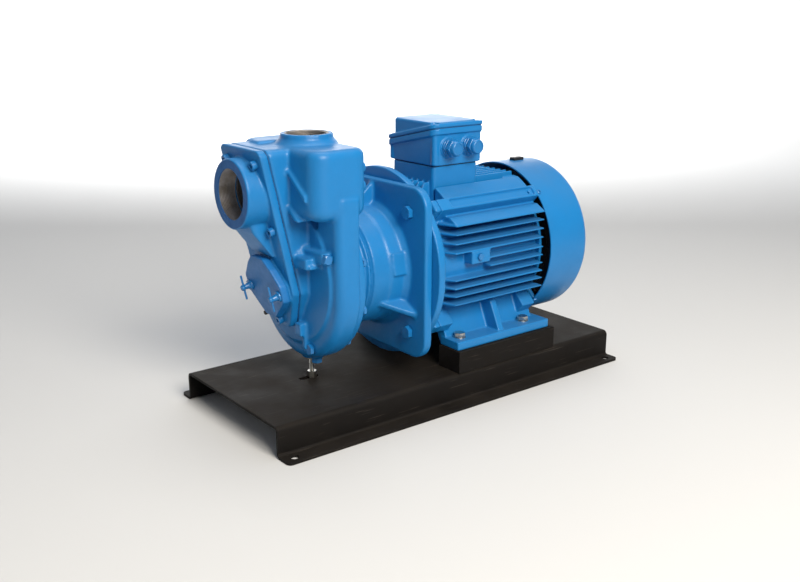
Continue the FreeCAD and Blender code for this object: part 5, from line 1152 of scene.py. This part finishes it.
@dataclass
class Handles:
    """T-handle screws of the cleanout cover: a collared screw with a rounded end and a thin cross bar.

    Args:
        collar_mm: height of the collar.
        root_mm: radius of the shank above it, of which taper_mm is gone at the bar.
        eye_mm: radius of the end that holds the bar, eye_height_mm high and rounded by eye_round_mm.
        bar_radius_mm: radius of the bar.
        bar_length_mm: its length, half of it on either side.
        soft_degrees: edges flatter than this are shaded smooth.
    """

    collar_mm: float = 3.0
    root_mm: float = 6.2
    taper_mm: float = 2.4
    eye_mm: float = 4.6
    eye_height_mm: float = 5.0
    eye_round_mm: float = 2.5
    bar_radius_mm: float = 1.6
    bar_length_mm: float = 40.0
    soft_degrees: float = 40.0

    def build(self) -> None:
        """Makes the screw and the bar of each side."""
        for side in ("near", "far"):
            for node in ("t_screw_" + side, "t_bar_" + side):
                points = solids_of(node)[0]
                if node.startswith("t_bar"):
                    span = np.ptp(points, axis=0)
                    screw = Screw.read(points, (COVER_TILT, 0, -1) if span[2] > span[1] else (0, 1, 0))
                    r, middle, half = self.bar_radius_mm, screw.head / 2, self.bar_length_mm / 2
                    rows = [ring(middle - half + way, out) for way, out in rounded_end(r, r)]
                    rows += [ring(middle + half - way, out) for way, out in rounded_end(r, r)[::-1]]
                else:
                    screw = Screw.read(points, OUT_OF_COVER)
                    rows = screw.shank() + self.grip(screw)
                Shell.of(screw.form(rows, 32)).stand_for(node, self.soft_degrees)

    def grip(self, screw: Screw) -> list[Row]:
        """Collar, then a forged shank that draws in towards the bar: radius falls with the way's square root."""
        collar, end = self.collar_mm, screw.head
        length = end - collar - self.eye_height_mm - 1
        drawn = [ring(collar + s * length, self.root_mm - self.taper_mm * math.sqrt(s))
                 for s in np.linspace(0, 1, 9)]
        eye = [ring(end - a, r) for a, r in rounded_end(self.eye_mm, self.eye_round_mm)[::-1]]
        return [ring(0, screw.reach - 0.4), ring(0.4, screw.reach), ring(collar - 0.6, screw.reach),
                ring(collar, screw.reach - 0.5)] + drawn + [ring(end - self.eye_height_mm, self.eye_mm)] + eye


@dataclass
class Glands:
    """Blanked cable glands: sealing ring, thin hexagon nut, groove, domed hexagon cap and a sunken disc.

    Args:
        ring_mm: height of the sealing ring's top.
        ring_radius_mm: the ring's radius.
        nut_mm: height of the thin nut's top.
        gap_mm: height of the cap's foot.
        cap_mm: height of the cap's face.
        dome_mm: height of the dome, where the cap's hexagon ends.
        cap_share: the cap's hexagon against the nut's.
        neck_mm: radius of the groove.
        dome: way behind the cap's face in millimetres, and radius against half the nut's flats, of each row.
    """

    ring_mm: float = 3.0
    ring_radius_mm: float = 14.5
    nut_mm: float = 6.5
    gap_mm: float = 8.0
    cap_mm: float = 22.5
    dome_mm: float = 6.5
    cap_share: float = 0.97
    neck_mm: float = 11.2
    dome: tuple[tuple[float, float], ...] = ((4.0, 0.91), (1.8, 0.86), (0.5, 0.79), (0.0, 0.72), (0.0, 0.64),
                                             (0.9, 0.61), (0.9, 0.0))

    def build(self) -> None:
        """Makes both glands; their nuts' corners give each one's place and turn."""
        shell = Shell()
        for points in solids_of("cable_glands"):
            screw = Screw.read(points, (0, -1, 0))
            reach = screw.reach
            half = reach * math.cos(math.pi / 6)
            top, wide, share = self.cap_mm, self.ring_radius_mm, self.cap_share
            rows = screw.shank() + [ring(0, wide - 0.3), ring(0.4, wide), ring(self.ring_mm - 0.4, wide),
                                    ring(self.ring_mm, wide - 0.5)]
            rows += milled(Section.HEX, self.ring_mm + 0.05, self.nut_mm, reach, half, both=True)
            rows += [ring(self.nut_mm, self.neck_mm), ring(self.gap_mm, self.neck_mm)]
            rows += milled(Section.HEX, self.gap_mm, top - self.dome_mm, share * reach, share * half, both=True)
            rows += [ring(top - way, out * half) for way, out in self.dome]
            shell.grid(screw.form(rows))
        shell.stand_for("cable_glands")


@dataclass
class Fan:
    """Fan whose blades reach near the cover, with a plate as wide.

    Args:
        hub: radius in metres that stays.
        tip: radius in metres that the blades' tips reach.
        plate_mm: thickness of the plate.
    """

    hub: float = 0.04
    tip: float = 0.119
    plate_mm: float = 2.0

    def build(self) -> None:
        """Spreads the blades, r becoming hub + k (r - hub) past the hub, and adds the plate between them."""
        mesh = merged_copy("fan")
        points = points_of(mesh)
        off = points[:, 1:] - np.array([0, SHAFT_Z])
        reach = np.linalg.norm(off, axis=1, keepdims=True)
        stretch = (self.tip - self.hub) / (reach.max() - self.hub)
        grown = np.where(reach > self.hub, self.hub + stretch * (reach - self.hub), reach)
        points[:, 1:] = off / np.maximum(reach, 1e-6) * grown + np.array([0, SHAFT_Z])
        mesh.vertices.foreach_set("co", points.ravel())
        self.plate(points[reach[:, 0] > 1.5 * self.hub, 0].min())
        dress(mesh, "fan", CLEAN_DEGREES)

    def plate(self, front: float) -> None:
        """Ring 1 mm behind the blades' front edges at x = front, from inside the hub to near the tips."""
        inner, outer, thick = self.hub / MM - 4, self.tip / MM - 1, self.plate_mm
        rows = [ring(0, inner), ring(0, outer), ring(thick, outer), ring(thick, inner)]
        shell = Shell.of(turned(np.array([front + MM, 0, SHAFT_Z]), X_AXIS, Y_AXIS, rows, 64), closed=(True, True))
        shell.piece("fan_plate", SLOT_OF["fan"], BODY_OF["fan"])


@dataclass
class BlackPlug:
    """Domed top of the black plug at the foot of the front cover, over the CAD node's own collar.

    Args:
        foot_mm: height at which the top starts.
        end_mm: height of its end.
        radius_mm: its radius.
        blend_mm: radius of its rounded end.
    """

    foot_mm: float = 4.5
    end_mm: float = 14.0
    radius_mm: float = 3.6
    blend_mm: float = 1.5

    def build(self) -> None:
        """Makes the top on the plug that is on the pump's side of the frame's origin."""
        shell = Shell()
        for points in [solid for solid in solids_of("black_plugs") if middle_of(solid)[0] < 0]:
            rows = [ring(self.foot_mm, 0), ring(self.foot_mm, self.radius_mm)]
            rows += [ring(self.end_mm - way, out)
                     for way, out in rounded_end(self.radius_mm, self.blend_mm, 5)[::-1]]
            shell.grid(Screw.read(points, OUT_OF_COVER).form(rows, 32))
        shell.piece("black_plug_top", SLOT_OF["black_plugs"], BODY_OF["black_plugs"])


class Gaskets:
    """Gaskets whose edges show: the front cover's and the lid's were sprayed over, the box's is bare rubber."""

    def build(self) -> None:
        """Makes both gaskets of the terminal box, told apart by their height, then the front cover's."""
        made = clean_skin("box_gaskets")
        made.data.materials.append(PAINTED_RUBBER.material())
        middles = [middle_of(points)[2] for points in solids_of("box_gaskets")]
        split = sum(middles) / len(middles)
        for face in made.data.polygons:
            face.material_index = int(face.center.z > split)
        clean_skin("front_cover_gasket", PAINTED_RUBBER)


def dress_rest() -> None:
    """Gives every CAD node that no piece stands for a smoothly shaded copy in its slot's finish."""
    for node in sorted(frame["nodes"]):
        if not frame["nodes"][node].hide_render:
            clean_skin(node)


def main() -> None:
    """Builds the studio, then every sub-assembly, and notes how large the part became."""
    logging.basicConfig(level=logging.INFO, format="%(name)s %(message)s")
    Studio().build()
    Castings().build()
    Port("suction", SUCTION.centre, (1, 0, 0), major_mm=37.6, length_mm=29.2, passage_mm=33.2, depth_mm=48.0,
         boss_mm=50.5, finish=SUCTION_IRON).build()
    Port("discharge", DISCHARGE.centre, (0, 0, -1), major_mm=29.8, length_mm=20.5, passage_mm=27.6, depth_mm=21.8,
         boss_mm=0.0, finish=DISCHARGE_IRON).build()
    Fasteners().build()
    Handles().build()
    Glands().build()
    Fan().build()
    BlackPlug().build()
    Gaskets().build()
    dress_rest()


if __name__ == "__main__":
    main()
